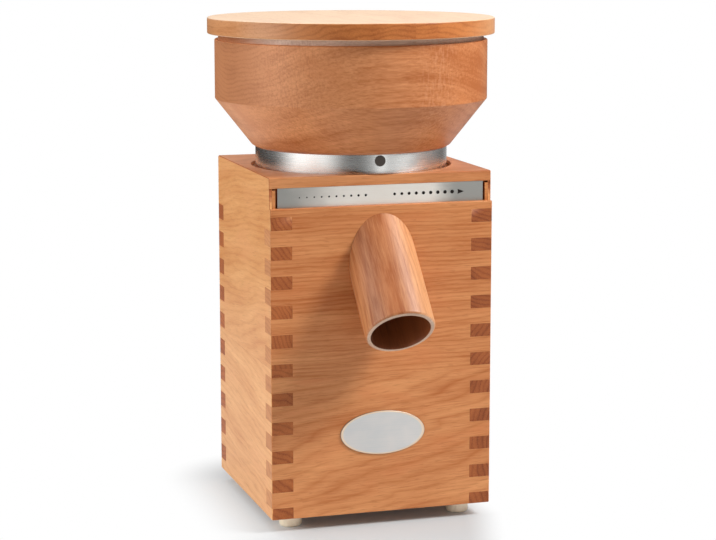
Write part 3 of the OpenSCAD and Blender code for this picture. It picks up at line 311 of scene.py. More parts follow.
def makeScaleSteel(name, look):  # satin plate, rougher towards its ends, with painted shade there standing in for darker reflections
    finish = Finish(name)
    here = finish.place()
    streaks = finish.noise(here, look["streak"], detail=3, roughness=0.65)
    smear = finish.noise(here, look["smear"], detail=2) - 0.5
    x = finish.split(here)[0] + smear * look["uneven"]
    # painted shade: the ends are mixed towards a dull grey that stands in for darker reflections
    paintedEndShade = (finish.ramp(x, look["bright"][0], look["dull"][0])
            + finish.ramp(x, look["bright"][1], look["dull"][1]))
    shade = streaks * look["streaks"] + smear * look["smears"] + look["middle"]
    colour = finish.mix(look["dark"], look["light"], shade)
    colour = finish.mix(colour, look["paintedEndShade"], paintedEndShade)
    rough = paintedEndShade * look["endRough"] + look["rough"]
    normal = finish.bump(streaks, look["relief"] * mm, metal["bump"])
    return finish.close(Base_Color=colour, Metallic=look["metallic"], Roughness=rough, Normal=normal)


def makeBandSteel(name, look):  # brushed round the band: the streaks are thin in height only
    finish = Finish(name)
    here = finish.place()
    streaks = finish.noise(here, look["streak"], detail=3, roughness=0.6)
    colour = finish.mix(look["dark"], look["light"], streaks)
    normal = finish.bump(streaks, look["relief"] * mm, metal["bump"])
    rough = (streaks - 0.5) * look["roughSpread"] + look["rough"]
    return finish.close(Base_Color=colour, Metallic=1.0, Roughness=rough, Normal=normal,
                        Anisotropic=look["brushed"], Anisotropic_Rotation=0.25)  # a quarter turn


def makeStone(name, look):
    finish = Finish(name)
    here = finish.place()
    crystals = finish.add("ShaderNodeTexVoronoi", {"feature": "F1"},
                          {"Vector": here, "Scale": 1 / look["crystal"]}, "Distance")
    patches = finish.noise(here, look["patch"], detail=4, roughness=0.7)
    pits = finish.ramp(patches, *look["pits"])
    shade = crystals * look["crystals"] + patches * look["patches"]
    colour = finish.mix(look["light"], look["dark"], shade)
    colour = finish.mix(colour, look["pit"], pits * look["pitStrength"])
    normal = finish.bump(crystals * look["crystalRise"] - pits * look["pitDepth"], look["relief"] * mm)
    return finish.close(Base_Color=colour, Roughness=look["rough"], Normal=normal)


def makeFelt(name, look):
    finish = Finish(name)
    here = finish.place()
    hairs = finish.noise(here, look["hair"], detail=4, roughness=0.8, distortion=1.5)
    colour = finish.mix(look["dark"], look["light"], hairs)
    normal = finish.bump(hairs, look["relief"] * mm)
    return finish.close(Base_Color=colour, Roughness=look["rough"], Normal=normal, Sheen_Weight=look["sheen"])


def closeEven(finish, look, pattern, **sockets):  # one pattern gives colour, roughness and relief
    colour = finish.mix(look["dark"], look["light"], pattern)
    normal = finish.bump(pattern, look["relief"] * mm)
    rough = pattern * look["roughSpread"] + look["rough"]
    return finish.close(Base_Color=colour, Roughness=rough, Normal=normal, **sockets)


def makeWinding(name, look):  # lacquered turns of wire round the motor's axis
    finish = Finish(name)
    here = finish.place()
    wires = finish.add("ShaderNodeTexWave", {"bands_direction": "DIAGONAL"},
                       {"Vector": here, "Scale": look["wires"], "Distortion": look["uneven"],
                        "Detail": 2}, "Fac")
    return closeEven(finish, look, wires, Coat_Weight=look["lacquer"])


def makeLamination(name, look):  # thin sheets stacked in height
    finish = Finish(name)
    here = finish.place()
    sheets = finish.noise(here, look["sheet"], detail=1)
    return closeEven(finish, look, sheets, Metallic=look["metallic"])


# beech in general; each wooden piece below changes what is its own
darkEnds = {"low": 0.62, "high": 0.93, "lines": 0.45,
            "light": srgb(182, 102, 50), "dark": srgb(128, 60, 22)}
paleEnds = {"low": 0.62, "high": 0.93, "lines": 0.4,
            "light": srgb(206, 142, 92), "dark": srgb(172, 106, 62)}
boxFleck = {"size": (9, 0.8, 0.8), "low": 0.56, "high": 0.68, "strength": 0.26,
            "colour": srgb(150, 78, 34)}
directions = {"x": (1, 0, 0), "y": (0, 1, 0), "z": (0, 0, 1)}


def beechLook(grain, width, staves, light, dark, **own):
    look = {"grain": directions[grain], "across": directions[width], "centre": tuple(axis),
            "staves": staves, "light": light, "dark": dark, "blush": dark, "years": 1.15, "late": 0.28,
            "streak": (30, 1.4, 1.4), "streaks": 0.75, "fibres": 0.6, "clouds": 0.75, "fleck": boxFleck,
            "end": darkEnds, "rough": 0.44, "gloss": 0.3, "drift": 0.0}
    look.update(own)
    return look


def stave(pith, lean=(0, 0), start=None, tone=0.0, slope=0.0, pitch=2.8, wobble=12, ripple=1.5):
    return {"from": start, "pith": pith, "lean": lean, "tone": tone, "slope": slope, "pitch": pitch,
            "wobble": wobble, "ripple": ripple}


boxLooks = {
    "front": beechLook("x", "z", [
        stave((40, -260), (0.02, 0.30), tone=-0.08, slope=0.05, pitch=8.5, wobble=34, ripple=3),
        stave((-30, -90), (0, 0.012), start=96, tone=0.04, pitch=3.0, wobble=9)],
        srgb(222, 153, 97), srgb(176, 97, 46), blush=srgb(196, 111, 61), end=paleEnds),
    "back": beechLook("x", "z", [
        stave((60, -150), (0.01, 0.05), tone=0.0, pitch=4.2, wobble=16),
        stave((-60, 260), (0, -0.03), start=118, tone=-0.05, pitch=3.1)],
        srgb(220, 150, 94), srgb(176, 98, 48), blush=srgb(194, 112, 62)),
    "left": beechLook("y", "z", [
        stave((150, -90), (0.03, 0.12), tone=-0.08, slope=0.06, pitch=4.4, wobble=18, ripple=2),
        stave((190, 70), (0, -0.12), start=104, tone=0.06, slope=-0.1, pitch=3.2, wobble=14)],
        srgb(234, 176, 116), srgb(202, 131, 74), blush=srgb(218, 148, 96), streaks=0.6,
        fleck=boxFleck | {"strength": 0.16}),
    "right": beechLook("y", "z", [
        stave((-170, 40), (0.02, 0.06), tone=0.02, pitch=3.6, wobble=14),
        stave((-120, 300), (0, 0.04), start=128, tone=-0.04, pitch=3.0)],
        srgb(228, 162, 104), srgb(186, 110, 56), blush=srgb(202, 124, 72),
        end=darkEnds | {"light": srgb(168, 92, 46), "dark": srgb(116, 52, 18)}),
    "top": beechLook("x", "y", [
        stave((-160, 30), (0.01, 0.02), pitch=3.2)],
        srgb(220, 152, 98), srgb(172, 96, 48), blush=srgb(196, 120, 70), drift=0.0036),
    "rail": beechLook("x", "z", [
        stave((60, 190), (0, 0.02), tone=0.02, pitch=2.4, wobble=8)],
        srgb(224, 154, 96), srgb(190, 112, 56)),
    "base": beechLook("x", "y", [
        stave((50, 20), (0.01, 0.02), pitch=3)],
        srgb(216, 156, 108), srgb(180, 114, 70)),
}
turnedLooks = {
    "bowl": beechLook("x", "z", [
        stave((-20, 400), (0.03, 0.02), tone=0.05, pitch=3.0, wobble=10, ripple=1.6)],
        srgb(218, 147, 97), srgb(170, 96, 49), blush=srgb(189, 112, 62),
        late=0.16, clouds=0.8, drift=0.0034, streak=(12, 1.3, 1.3), streaks=1.1,
        fleck={"size": (7, 0.9, 0.9), "low": 0.55, "high": 0.63, "strength": 0.16,
               "colour": srgb(150, 78, 34)},
        end={"low": 0.74, "high": 0.99, "lines": 0.35,
             "light": srgb(182, 118, 75), "dark": srgb(141, 81, 43)},
        rays=[{"middle": 34, "reach": 20, "size": (1.3, 1.3, 6), "strength": 0.18,
               "colour": srgb(222, 162, 122)},
              {"middle": -60, "reach": 20, "size": (1.1, 1.1, 4), "strength": 0.2,
               "colour": srgb(150, 82, 44)}]),
    "lid": beechLook("y", "x", [
        stave((40, 10), (0.01, 0.03), tone=-0.12, pitch=3.4, wobble=16),
        stave((70, 30), (0, -0.02), start=14, tone=-0.04, pitch=2.8, wobble=10),
        stave((-50, 80), (0, 0.03), start=62, tone=-0.1, pitch=3.2)],
        srgb(240, 202, 159), srgb(218, 169, 123), blush=srgb(229, 186, 142), rough=0.3, gloss=0.9,
        end={"low": 0.55, "high": 0.97, "lines": 0.4,
             "light": srgb(202, 122, 62), "dark": srgb(148, 74, 30)}),
}

plainLooks = {
    "black_plastic": {"dark": srgb(30, 31, 33), "light": srgb(48, 49, 51), "rough": 0.42,
                      "grain": 0.5, "relief": 0.04},
    "cream_plastic": {"dark": srgb(250, 235, 206), "light": srgb(255, 246, 224), "rough": 0.36,
                      "grain": 0.8, "relief": 0.02},
    "white_plastic": {"dark": srgb(216, 212, 202), "light": srgb(232, 229, 220), "rough": 0.4,
                      "grain": 0.9, "relief": 0.03},
    "lead_cover": {"dark": srgb(70, 104, 146), "light": srgb(94, 130, 172), "rough": 0.35,
                   "grain": 1.2, "relief": 0.02},
}
metalLooks = {
    "zinc": {"dark": srgb(150, 152, 154), "light": srgb(202, 204, 205), "rough": 0.34,
             "streak": (5, 5, 5), "relief": 0.02},
    "shaft_steel": {"dark": srgb(168, 170, 172), "light": srgb(214, 216, 218), "rough": 0.2,
                    "streak": (9, 9, 0.5), "relief": 0.01},
    "cast_aluminium": {"dark": srgb(146, 149, 152), "light": srgb(190, 193, 196), "rough": 0.52,
                       "streak": (1.4, 1.4, 1.4), "relief": 0.12},
}

finishes = {name: makePlastic(name, look) for name, look in plainLooks.items()}
finishes.update({name: makeMetal(name, look) for name, look in metalLooks.items()})
finishes.update({"beech_" + name: makeBeech("beech_" + name, look)
                 for name, look in (boxLooks | turnedLooks).items()})
finishes["beech"] = finishes["beech_front"]
finishes["beech_turned"] = finishes["beech_bowl"]
finishes["beech_side"] = finishes["beech_right"]
finishes["beech_rim"] = makeBeech("beech_rim", turnedLooks["bowl"] | {
    "light": srgb(230, 204, 186), "dark": srgb(194, 160, 138), "blush": srgb(210, 178, 158)})
# painted shade: a darker copy of the lid's beech for its sides, so that the top stands lighter as if lit
finishes["lid_side_painted_shade"] = makeBeech("lid_side_painted_shade", turnedLooks["lid"] | {
    "light": srgb(214, 153, 104), "dark": srgb(184, 118, 70), "blush": srgb(199, 135, 86), "gloss": 0.3})
# the dull grey at the plate's ends is painted shade, standing in for darker reflections
finishes["brushed_plate"] = makeScaleSteel("brushed_plate", {
    "dark": srgb(240, 231, 220), "light": srgb(255, 251, 243), "paintedEndShade": srgb(166, 165, 160),
    "bright": (-22, 32), "dull": (-70, 54), "smear": (16, 16, 7), "uneven": 14, "streak": (24, 24, 0.5),
    "streaks": 0.6, "smears": 0.5, "middle": 0.2, "metallic": 0.8, "rough": 0.38, "endRough": 0.08,
    "relief": 0.01})
finishes["steel_band"] = makeBandSteel("steel_band", {
    "dark": srgb(240, 240, 237), "light": srgb(252, 252, 249), "streak": (45, 45, 0.5), "brushed": 0.75,
    "rough": 0.27, "roughSpread": 0.1, "relief": 0.003})
finishes["grindstone"] = makeStone("grindstone", {
    "light": srgb(226, 221, 208), "dark": srgb(186, 178, 160), "pit": srgb(120, 112, 98),
    "crystal": 1.1, "crystals": 0.6, "crystalRise": -0.6, "patch": (4, 4, 4), "patches": 0.4,
    "pits": (0.6, 0.7), "pitStrength": 0.6, "pitDepth": 0.8, "rough": 0.86, "relief": 0.35})
finishes["felt"] = makeFelt("felt", {
    "dark": srgb(88, 88, 86), "light": srgb(142, 142, 138), "hair": (0.5, 0.5, 2.2), "rough": 0.95,
    "sheen": 0.3, "relief": 0.4})
finishes["copper"] = makeWinding("copper", {
    "dark": srgb(120, 62, 30), "light": srgb(204, 122, 66), "wires": 0.55, "uneven": 1.2,
    "rough": 0.35, "roughSpread": 0.1, "lacquer": 0.4, "relief": 0.3})
finishes["lamination"] = makeLamination("lamination", {
    "dark": srgb(70, 72, 75), "light": srgb(128, 131, 134), "sheet": (60, 60, 0.5), "metallic": 0.9,
    "rough": 0.45, "roughSpread": 0.15, "relief": 0.1})

for part in frame["record"]["subparts"]:
    slots = nodes[part["node"]].data.materials
    slots.clear()
    slots.append(finishes[part["material_slot"]])
nodes["base_board"].data.materials[0] = finishes["beech_base"]
nodes["scale_rail"].data.materials[0] = finishes["beech_rail"]
finishes["band_dot"] = makePlastic("band_dot", {
    "dark": srgb(50, 42, 36), "light": srgb(70, 60, 52), "rough": 0.5, "grain": 0.4, "relief": 0.02})
nodes["band_marker"].data.materials[0] = finishes["band_dot"]

print("finishes made:", len(bpy.data.materials))

# when points merge, which angles count as flat or as a corner, how much of a side a rounding takes
meshing = {"weld": 0.001 * mm, "panelWeld": 0.01 * mm, "sliver": 1e-14, "flat": math.radians(1),
           "corner": math.radians(40), "upright": 0.5, "sideShare": 0.45, "roundingSteps": 5}


def addObject(name, bm, material):
    mesh = bpy.data.meshes.new(name)
    bm.to_mesh(mesh)
    bm.free()
    mesh.materials.append(material)
    piece = bpy.data.objects.new(name, mesh)
    scene.collection.objects.link(piece)
    return piece


def newPiece(name, bm, finish, body, replaces=(), smooth=35):
    bmesh.ops.recalc_face_normals(bm, faces=bm.faces)
    piece = addObject(name, bm, finishes[finish])
    piece.data.shade_smooth()
    piece.data.set_sharp_from_angle(angle=math.radians(smooth))
    weight = piece.modifiers.new("evenNormals", "WEIGHTED_NORMAL")
    weight.keep_sharp = True
    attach(piece, body)
    if replaces:
        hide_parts(*replaces)
    return piece


def secondFinish(piece, finish, test):  # another finish on the faces that the test picks
    piece.data.materials.append(finishes[finish])
    for face in piece.data.polygons:
        if test(face):
            face.material_index = 1


def upright(face):
    return abs(face.normal.z) < meshing["upright"]


def roundTurn(count):  # angles evenly round a circle
    return [2 * math.pi * k / count for k in range(count)]


def roundedProfile(corners):  # corners are (radius, height, rounding) in millimetres
    points = []
    count, steps = len(corners), meshing["roundingSteps"]
    for i, (r, z, rounding) in enumerate(corners):
        here = Vector((r, z))
        if not rounding:
            points.append(here)
            continue
        before = Vector(corners[i - 1][:2]) - here
        after = Vector(corners[(i + 1) % count][:2]) - here
        reach = rounding / math.tan(before.angle(after) / 2)
        start = here + before.normalized() * min(reach, before.length * meshing["sideShare"])
        end = here + after.normalized() * min(reach, after.length * meshing["sideShare"])
        for k in range(steps + 1):
            t = k / steps
            points.append(start * (1 - t) ** 2 + here * 2 * t * (1 - t) + end * t ** 2)
    return points


def joinRings(bm, columns):  # closed outlines, side by side round an axis
    for column, nextColumn in zip(columns, columns[1:] + columns[:1]):
        for i in range(len(column)):
            j = (i + 1) % len(column)
            bm.faces.new((column[i], nextColumn[i], nextColumn[j], column[j]))


def joinLoops(bm, first, second):  # the faces between two closed loops of corners
    for k in range(len(first)):
        j = (k + 1) % len(first)
        bm.faces.new((first[k], first[j], second[j], second[k]))


def joinTube(bm, rings):  # loops one after another, closed at both ends
    for first, second in zip(rings, rings[1:]):
        joinLoops(bm, first, second)
    bm.faces.new(rings[0])
    bm.faces.new(rings[-1])


def lathe(corners, segments=256, bm=None, centre=(0, 0)):  # a closed outline turned about the vertical
    bm = bm or bmesh.new()
    outline = roundedProfile(corners)
    columns = []
    for angle in roundTurn(segments):
        side, deep = math.cos(angle), math.sin(angle)
        columns.append([
            bm.verts.new(((centre[0] + p.x * side) * mm, (centre[1] + p.x * deep) * mm, p.y * mm))
            for p in outline])
    joinRings(bm, columns)
    bmesh.ops.remove_doubles(bm, verts=bm.verts, dist=meshing["weld"])
    slivers = [face for face in bm.faces if face.calc_area() < meshing["sliver"]]
    bmesh.ops.delete(bm, geom=slivers, context="FACES_ONLY")
    return bm


def onAxis(bm):
    bmesh.ops.translate(bm, verts=bm.verts, vec=axis)
    return bm


def eased(node, steps):  # a panel with its arrises taken off; steps are (test, size, segments)
    bm = bmesh.new()
    bm.from_mesh(nodes[node].data)
    bmesh.ops.remove_doubles(bm, verts=bm.verts, dist=meshing["panelWeld"])
    bmesh.ops.dissolve_limit(bm, angle_limit=meshing["flat"], verts=bm.verts, edges=bm.edges)
    for test, size, segments in steps:
        edges = [edge for edge in bm.edges if len(edge.link_faces) == 2 and edge.is_convex
                 and edge.calc_face_angle() > meshing["corner"] and test(edge)]
        bmesh.ops.bevel(bm, geom=edges, offset=size, offset_type="OFFSET", segments=segments,
                        profile=0.5, affect="EDGES", clamp_overlap=True)
    return bm


boxCut = {"arris": 0.9 * mm, "joint": 0.14 * mm, "board": 0.8 * mm, "near": 0.03 * mm, "facing": 0.9}


def outerFaces(point):  # how many outer faces of the box a point lies on
    spot = point - axis
    near = boxCut["near"]
    recess = abs(point.y - railFront) < near and point.z > ledgeTop - near
    ledge = abs(point.z - ledgeTop) < near and point.y < railFront + near
    return sum((abs(abs(spot.x) - halfWidth) < near, abs(spot.y - halfDepth) < near,
                abs(spot.y + halfDepth) < near or recess, abs(point.z - deckTop) < near or ledge,
                abs(spot.z) < near))


def onArris(edge):
    first, second = (vert.co for vert in edge.verts)
    return min(outerFaces(spot) for spot in (first, second, (first + second) / 2)) >= 2


def onFace(edge):
    first, second = (vert.co for vert in edge.verts)
    return min(outerFaces(first), outerFaces(second)) >= 1 and outerFaces((first + second) / 2) == 1


def onLip(face):
    return face.normal.y < -boxCut["facing"] and abs(face.center.y - railFront) < boxCut["near"]


# the lips beside the scale show dark end grain, painted darker still as shade in the gap beside the scale's posts
finishes["beech_lip_end_grain_and_shade"] = makeBeech("beech_lip_end_grain_and_shade", boxLooks["left"] | {
    "end": darkEnds | {"light": srgb(160, 84, 36), "dark": srgb(128, 60, 22)}})
for side in ("front", "back", "left", "right"):
    bm = eased(side + "_panel", [(onArris, boxCut["arris"], 3), (onFace, boxCut["joint"], 1)])
    panel = newPiece(side + "_panel_eased", bm, "beech_" + side, "housing", [side + "_panel"])
    if side in ("left", "right"):
        secondFinish(panel, "beech_lip_end_grain_and_shade", onLip)

mouth = {"radius": 69.7 * mm, "slack": 0.2 * mm}


def onBoardArris(edge):  # the deck's outline, its round mouth and its two front corners
    first, second = (vert.co for vert in edge.verts)
    rim = all(abs(math.hypot(*(spot - axis).xy) - mouth["radius"]) < mouth["slack"]
              and abs(spot.z - deckTop) < boxCut["near"] for spot in (first, second))
    return rim or onArris(edge)


bm = eased("top_board", [(onBoardArris, boxCut["board"], 3)])
newPiece("top_board_eased", bm, "beech_top", "housing", ["top_board"])

print("box made")

bowl = {  # radii, and heights above the underside of the box
    "throat": 15, "neck": 65.2, "step": 66.9, "cone": 69.3, "side": 94.4, "inside": 85.0, "rim": 91.8,
    "neckZ": 229, "bandTop": 244.8, "coneZ": 246.2, "sideZ": 278, "shoulderZ": 318.5, "rimZ": 322.4,
    "funnelZ": 239, "lipZ": 282,
}
bm = lathe([
    (bowl["throat"], bowl["neckZ"], 0), (bowl["neck"], bowl["neckZ"], 0),
    (bowl["neck"], bowl["bandTop"], 0), (bowl["step"], bowl["bandTop"], 0.3),
    (bowl["cone"], bowl["coneZ"], 0.8), (bowl["side"], bowl["sideZ"], 1.2),
    (bowl["side"], bowl["shoulderZ"], 0.8), (bowl["rim"], bowl["shoulderZ"], 0.3),
    (bowl["rim"], bowl["rimZ"], 0.5), (bowl["inside"], bowl["rimZ"], 0.6),
    (bowl["inside"], bowl["lipZ"], 3), (bowl["throat"], bowl["funnelZ"], 1.5),
])
bowlPiece = newPiece("hopper_bowl_turned", onAxis(bm), "beech_bowl", "hopper", ["hopper_bowl"],
                     smooth=25)


def underLid(face):  # the set-back side under the lid gets a paler beech
    outside = (face.center - axis).xy.length > (bowl["inside"] + bowl["rim"]) / 2 * mm
    return face.center.z > axis.z + bowl["shoulderZ"] * mm and outside and upright(face)


secondFinish(bowlPiece, "beech_rim", underLid)

lid = {"radius": 99.3, "plug": 84.4, "low": bowl["rimZ"], "thick": 11.2, "plugDepth": 5}
lidTop = lid["low"] + lid["thick"]
bm = lathe([
    (0, lid["low"] - lid["plugDepth"], 0), (lid["plug"], lid["low"] - lid["plugDepth"], 0.6),
    (lid["plug"], lid["low"], 0), (lid["radius"], lid["low"], 1.0),
    (lid["radius"], lidTop, 1.3), (0, lidTop, 0),
])
lidPiece = newPiece("lid_turned", onAxis(bm), "beech_lid", "lid", ["lid"], smooth=30)
secondFinish(lidPiece, "lid_side_painted_shade", upright)  # painted shade: the sides get a darker copy of the lid's beech, so that the top stands lighter as if lit

band = {"outer": 66.7, "inner": 65.25, "low": 227.5, "high": 244.8}
bm = lathe([
    (band["inner"], band["low"], 0), (band["outer"], band["low"], 0.4),
    (band["outer"], band["high"], 0.4), (band["inner"], band["high"], 0),
])
newPiece("hopper_band_brushed", onAxis(bm), "steel_band", "hopper", ["hopper_band"])

print("hopper, lid and band made")

spout = {"outer": 23.6, "inner": 19.4, "length": 55.7, "tilt": math.radians(46), "height": 172, "seat": 3,
         "mouthRound": 1.9, "mouthFlare": 0.9, "flareDepth": 2.4, "bareFlare": 0.8, "steps": 6,
         "segments": 128}
spoutStart = Vector((0, boxLow.y / mm, axis.z / mm + spout["height"]))
spoutWay = Vector((0, -math.cos(spout["tilt"]), -math.sin(spout["tilt"])))
spoutUp = Vector((0, -math.sin(spout["tilt"]), math.cos(spout["tilt"])))
spoutLook = beechLook("y", "x", [
    stave((60, 30), (0.02, 0.03), tone=0.26, pitch=3.2, wobble=14, ripple=2.5)],
    srgb(222, 160, 110), srgb(155, 81, 30), blush=srgb(184, 108, 56), late=0.26, streak=(18, 1.2, 1.2),
    # the paler right side of the spout is a painted highlight
    fibres=0.9, rough=0.42, gloss=0.6, sapwood={"span": (-5, 17), "pale": 0.62},
    fleck={"size": (5, 0.7, 0.7), "low": 0.56, "high": 0.68, "strength": 0.22,
           "colour": srgb(152, 88, 50)},
    end={"low": 0.8, "high": 0.97, "lines": 0.2,
         "light": srgb(208, 176, 152), "dark": srgb(172, 132, 104)})
spoutLook.update(grain=tuple(spoutWay), centre=tuple(spoutStart * mm))
finishes["beech_spout"] = makeBeech("beech_spout", spoutLook)
# painted shade inside the spout's bore
finishes["beech_bore_painted_shade"] = makeBeech("beech_bore_painted_shade", spoutLook | {
    "light": srgb(150, 78, 36), "dark": srgb(96, 44, 16), "blush": srgb(120, 58, 24)})


def spoutWall(out, radius, deep):  # (way along the spout, radius) from the seat to just below the mouth
    back = (out.y * radius - spout["seat"]) / math.cos(spout["tilt"])
    steps = spout["steps"]
    return [(back + (spout["length"] - deep - back) * step / steps, radius) for step in range(steps + 1)]


def makeSpout():
    bm = bmesh.new()
    length, soft, outer, inner = spout["length"], spout["mouthRound"], spout["outer"], spout["inner"]
    bend = [math.pi / 2 * k / spout["steps"] for k in range(spout["steps"] + 1)]
    columns = []
    for angle in roundTurn(spout["segments"]):
        out = Vector((1, 0, 0)) * math.cos(angle) + spoutUp * math.sin(angle)
        line = spoutWall(out, outer, soft)
        line += [(length - soft * (1 - math.sin(a)), outer - soft * (1 - math.cos(a))) for a in bend]
        line.append((length, inner + spout["mouthFlare"]))
        line += spoutWall(out, inner, spout["flareDepth"])[::-1]
        columns.append([bm.verts.new((spoutStart + spoutWay * t + out * r) * mm) for t, r in line])
    joinRings(bm, columns)
    return bm


spoutPiece = newPiece("spout_turned", makeSpout(), "beech_spout", "housing", ["spout"], smooth=40)


def inBore(face):  # painted shade: the bore and the inner part of its flare get a much darker copy of the spout's beech
    away = face.center / mm - spoutStart
    reach = (away - spoutWay * away.dot(spoutWay)).length
    return reach < spout["inner"] + spout["mouthFlare"] * spout["bareFlare"]


secondFinish(spoutPiece, "beech_bore_painted_shade", inBore)

print("spout made")

plateLow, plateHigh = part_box("scale_plate")
plateMiddle = (plateLow + plateHigh) / 2
plateFace = plateLow.y
scaleMarks = {
    "fine": {"count": 10, "from": -57.0, "to": -11.0, "small": 0.9, "large": 1.7},
    "coarse": {"count": 9, "from": 9.2, "to": 50.1, "small": 1.9, "large": 2.6},
    "arrow": {"from": 54, "length": 4.6, "height": 3.4, "notch": 0.2},
}
printed = {"thick": 0.05, "sunk": 0.02, "segments": 24}  # any mark, on the scale or on the switch
finishes["scale_ink"] = makePlastic("scale_ink", {
    "dark": srgb(22, 18, 16), "light": srgb(38, 32, 30), "rough": 0.7, "grain": 0.4, "relief": 0.01,
    "gloss": 0.15})


def raisedShape(bm, corners, place):  # a thin flat shape; place turns (side, up, rise) into a point
    layers = [[bm.verts.new(place(side, up, rise)) for side, up in corners]
              for rise in (-printed["sunk"], printed["thick"])]
    joinTube(bm, layers)


def onPlate(side, up, rise):
    return side * mm, plateFace - rise * mm, plateMiddle.z + up * mm


def dot(bm, x, width):
    edge = [(x + width / 2 * math.cos(a), width / 2 * math.sin(a)) for a in roundTurn(printed["segments"])]
    raisedShape(bm, edge, onPlate)


def makeScaleMarks():
    bm = bmesh.new()
    for row in (scaleMarks["fine"], scaleMarks["coarse"]):
        for k in range(row["count"]):
            share = k / (row["count"] - 1)
            dot(bm, row["from"] + (row["to"] - row["from"]) * share,
                row["small"] + (row["large"] - row["small"]) * share)
    arrow = scaleMarks["arrow"]
    start, half = arrow["from"], arrow["height"] / 2
    raisedShape(bm, [(start, half), (start + arrow["length"], 0),
                     (start, -half), (start + arrow["notch"], 0)], onPlate)
    return bm


newPiece("scale_marks", makeScaleMarks(), "scale_ink", "housing")

# side is a share of the thickness, crown and slope are shares of the lip
badge = {"width": 60, "height": 30.2, "thick": 0.8, "field": 0.62, "lip": 0.9, "side": 0.7, "crown": 0.3,
         "slope": 1.3, "segments": 96}
badgeLow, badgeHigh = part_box("badge")
badgeMiddle = (badgeLow + badgeHigh) / 2


def makeBadgeSteel(name, look):  # satin field, with a painted warm reflection on the lip and a painted dark shadow line where the edge turns down to the wood
    finish = Finish(name)
    here = finish.place()
    x, _, z = finish.split(here)
    streaks = finish.noise(here, look["streak"], detail=3, roughness=0.6)
    smear = finish.noise(here, look["smear"], detail=2) - 0.5
    side = (x - badgeMiddle.x / mm) / (badge["width"] / 2)
    up = (z - badgeMiddle.z / mm) / (badge["height"] / 2)
    reach = (side * side + up * up) ** 0.5  # 0 in the middle, 1 at the edge
    edge = finish.ramp(reach, *look["edgeShadowSpan"])
    shade = streaks * look["streaks"] + smear * look["smears"] + look["middle"]
    colour = finish.mix(look["light"], look["dark"], shade)
    # painted reflection: the lip is warmed towards cream, as if mirroring the wood
    colour = finish.mix(colour, look["rim"], finish.ramp(reach, *look["rimHighlightSpan"]))
    # painted shadow: a dark line at the very edge, where the badge meets the wood
    colour = finish.mix(colour, look["edge"], edge * look["edgeShadowStrength"])
    normal = finish.bump(streaks, look["relief"] * mm, metal["bump"])
    rough = edge * look["edgeRough"] + look["rough"]
    return finish.close(Base_Color=colour, Metallic=1.0, Roughness=rough, Normal=normal)


# the cream rim is a painted reflection and the dark edge a painted shadow
finishes["badge_steel"] = makeBadgeSteel("badge_steel", {
    "light": srgb(234, 226, 220), "dark": srgb(200, 205, 207), "streak": (22, 22, 0.6),
    "smear": (18, 18, 14), "streaks": 0.4, "smears": 0.8, "middle": 0.3, "rim": srgb(246, 222, 196),
    "rimHighlightSpan": (0.92, 0.95), "edge": srgb(112, 92, 78), "edgeShadowSpan": (0.98, 1.0), "edgeShadowStrength": 0.85,
    "edgeRough": 0.1, "rough": 0.42, "relief": 0.01})


def makeBadge():  # flat field inside a low raised lip
    bm = bmesh.new()
    thick, lip = badge["thick"], badge["lip"]
    steps = [(0, 0.0), (0, thick * badge["side"]), (lip * badge["crown"], thick), (lip, thick),
             (lip * badge["slope"], badge["field"])]
    rings = []
    for inset, height in steps:
        ring = []
        for a in roundTurn(badge["segments"]):
            x = (badge["width"] / 2 - inset) * math.cos(a) * mm
            z = (badge["height"] / 2 - inset) * math.sin(a) * mm
            ring.append(bm.verts.new((badgeMiddle.x + x, badgeHigh.y - height * mm, badgeMiddle.z + z)))
        rings.append(ring)
    joinTube(bm, rings)
    return bm


newPiece("badge_plate", makeBadge(), "badge_steel", "housing", ["badge"], smooth=50)

foot = {"radius": 7.7, "height": 9, "low": 2.2, "screw": 3.6, "recess": 4.5, "hole": 2.15}
footLow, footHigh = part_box("feet")


def makeFeet():
    bm = bmesh.new()
    r, h = foot["radius"], foot["height"]
    for x in (footLow.x / mm + r, footHigh.x / mm - r):
        for y in (footLow.y / mm + r, footHigh.y / mm - r):
            lathe([(foot["screw"], 0, 0.3), (r, 0, foot["low"]), (r, h, 0.2), (foot["hole"], h, 0),
                   (foot["hole"], foot["recess"], 0), (foot["screw"], foot["recess"], 0)],
                  segments=64, bm=bm, centre=(x, y))
    return bm


newPiece("feet_moulded", makeFeet(), "cream_plastic", "housing", ["feet"])

springs = {"count": 3, "circle": 33, "coil": 3.1, "wire": 0.5, "turns": 3, "closed": 0.4,
           "steps": 32, "sides": 10}
springLow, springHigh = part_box("stone_springs")


def makeSprings():  # the end coils lie flat on the plates
    bm = bmesh.new()
    coil, wire, turns = springs["coil"], springs["wire"], springs["turns"]
    low, high = springLow.z / mm + wire, springHigh.z / mm - wire
    for bearing in roundTurn(springs["count"]):
        turn = Matrix.Rotation(bearing, 4, "Z")
        rings = []
        for i in range(turns * springs["steps"] + 1):
            turned = i / springs["steps"]
            share = (turned - springs["closed"]) / (turns - 2 * springs["closed"])
            height = low + (high - low) * min(max(share, 0), 1)
            a = 2 * math.pi * turned
            ring = []
            for b in roundTurn(springs["sides"]):
                out = coil + wire * math.cos(b)
                point = turn @ Vector((springs["circle"] + out * math.cos(a), out * math.sin(a), 0))
                z = (height + wire * math.sin(b)) * mm
                ring.append(bm.verts.new((point.x * mm, axis.y + point.y * mm, z)))
            rings.append(ring)
        joinTube(bm, rings)
    return bm


springPiece = newPiece("hanger_springs", makeSprings(), "zinc", "hopper", ["stone_springs"])
springTravel = max(next(joint for joint in frame["joints"] if joint["name"] == "stone_float")["range_m"])
1 - springTravel / (springHigh.z - springLow.z)
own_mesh(springPiece)

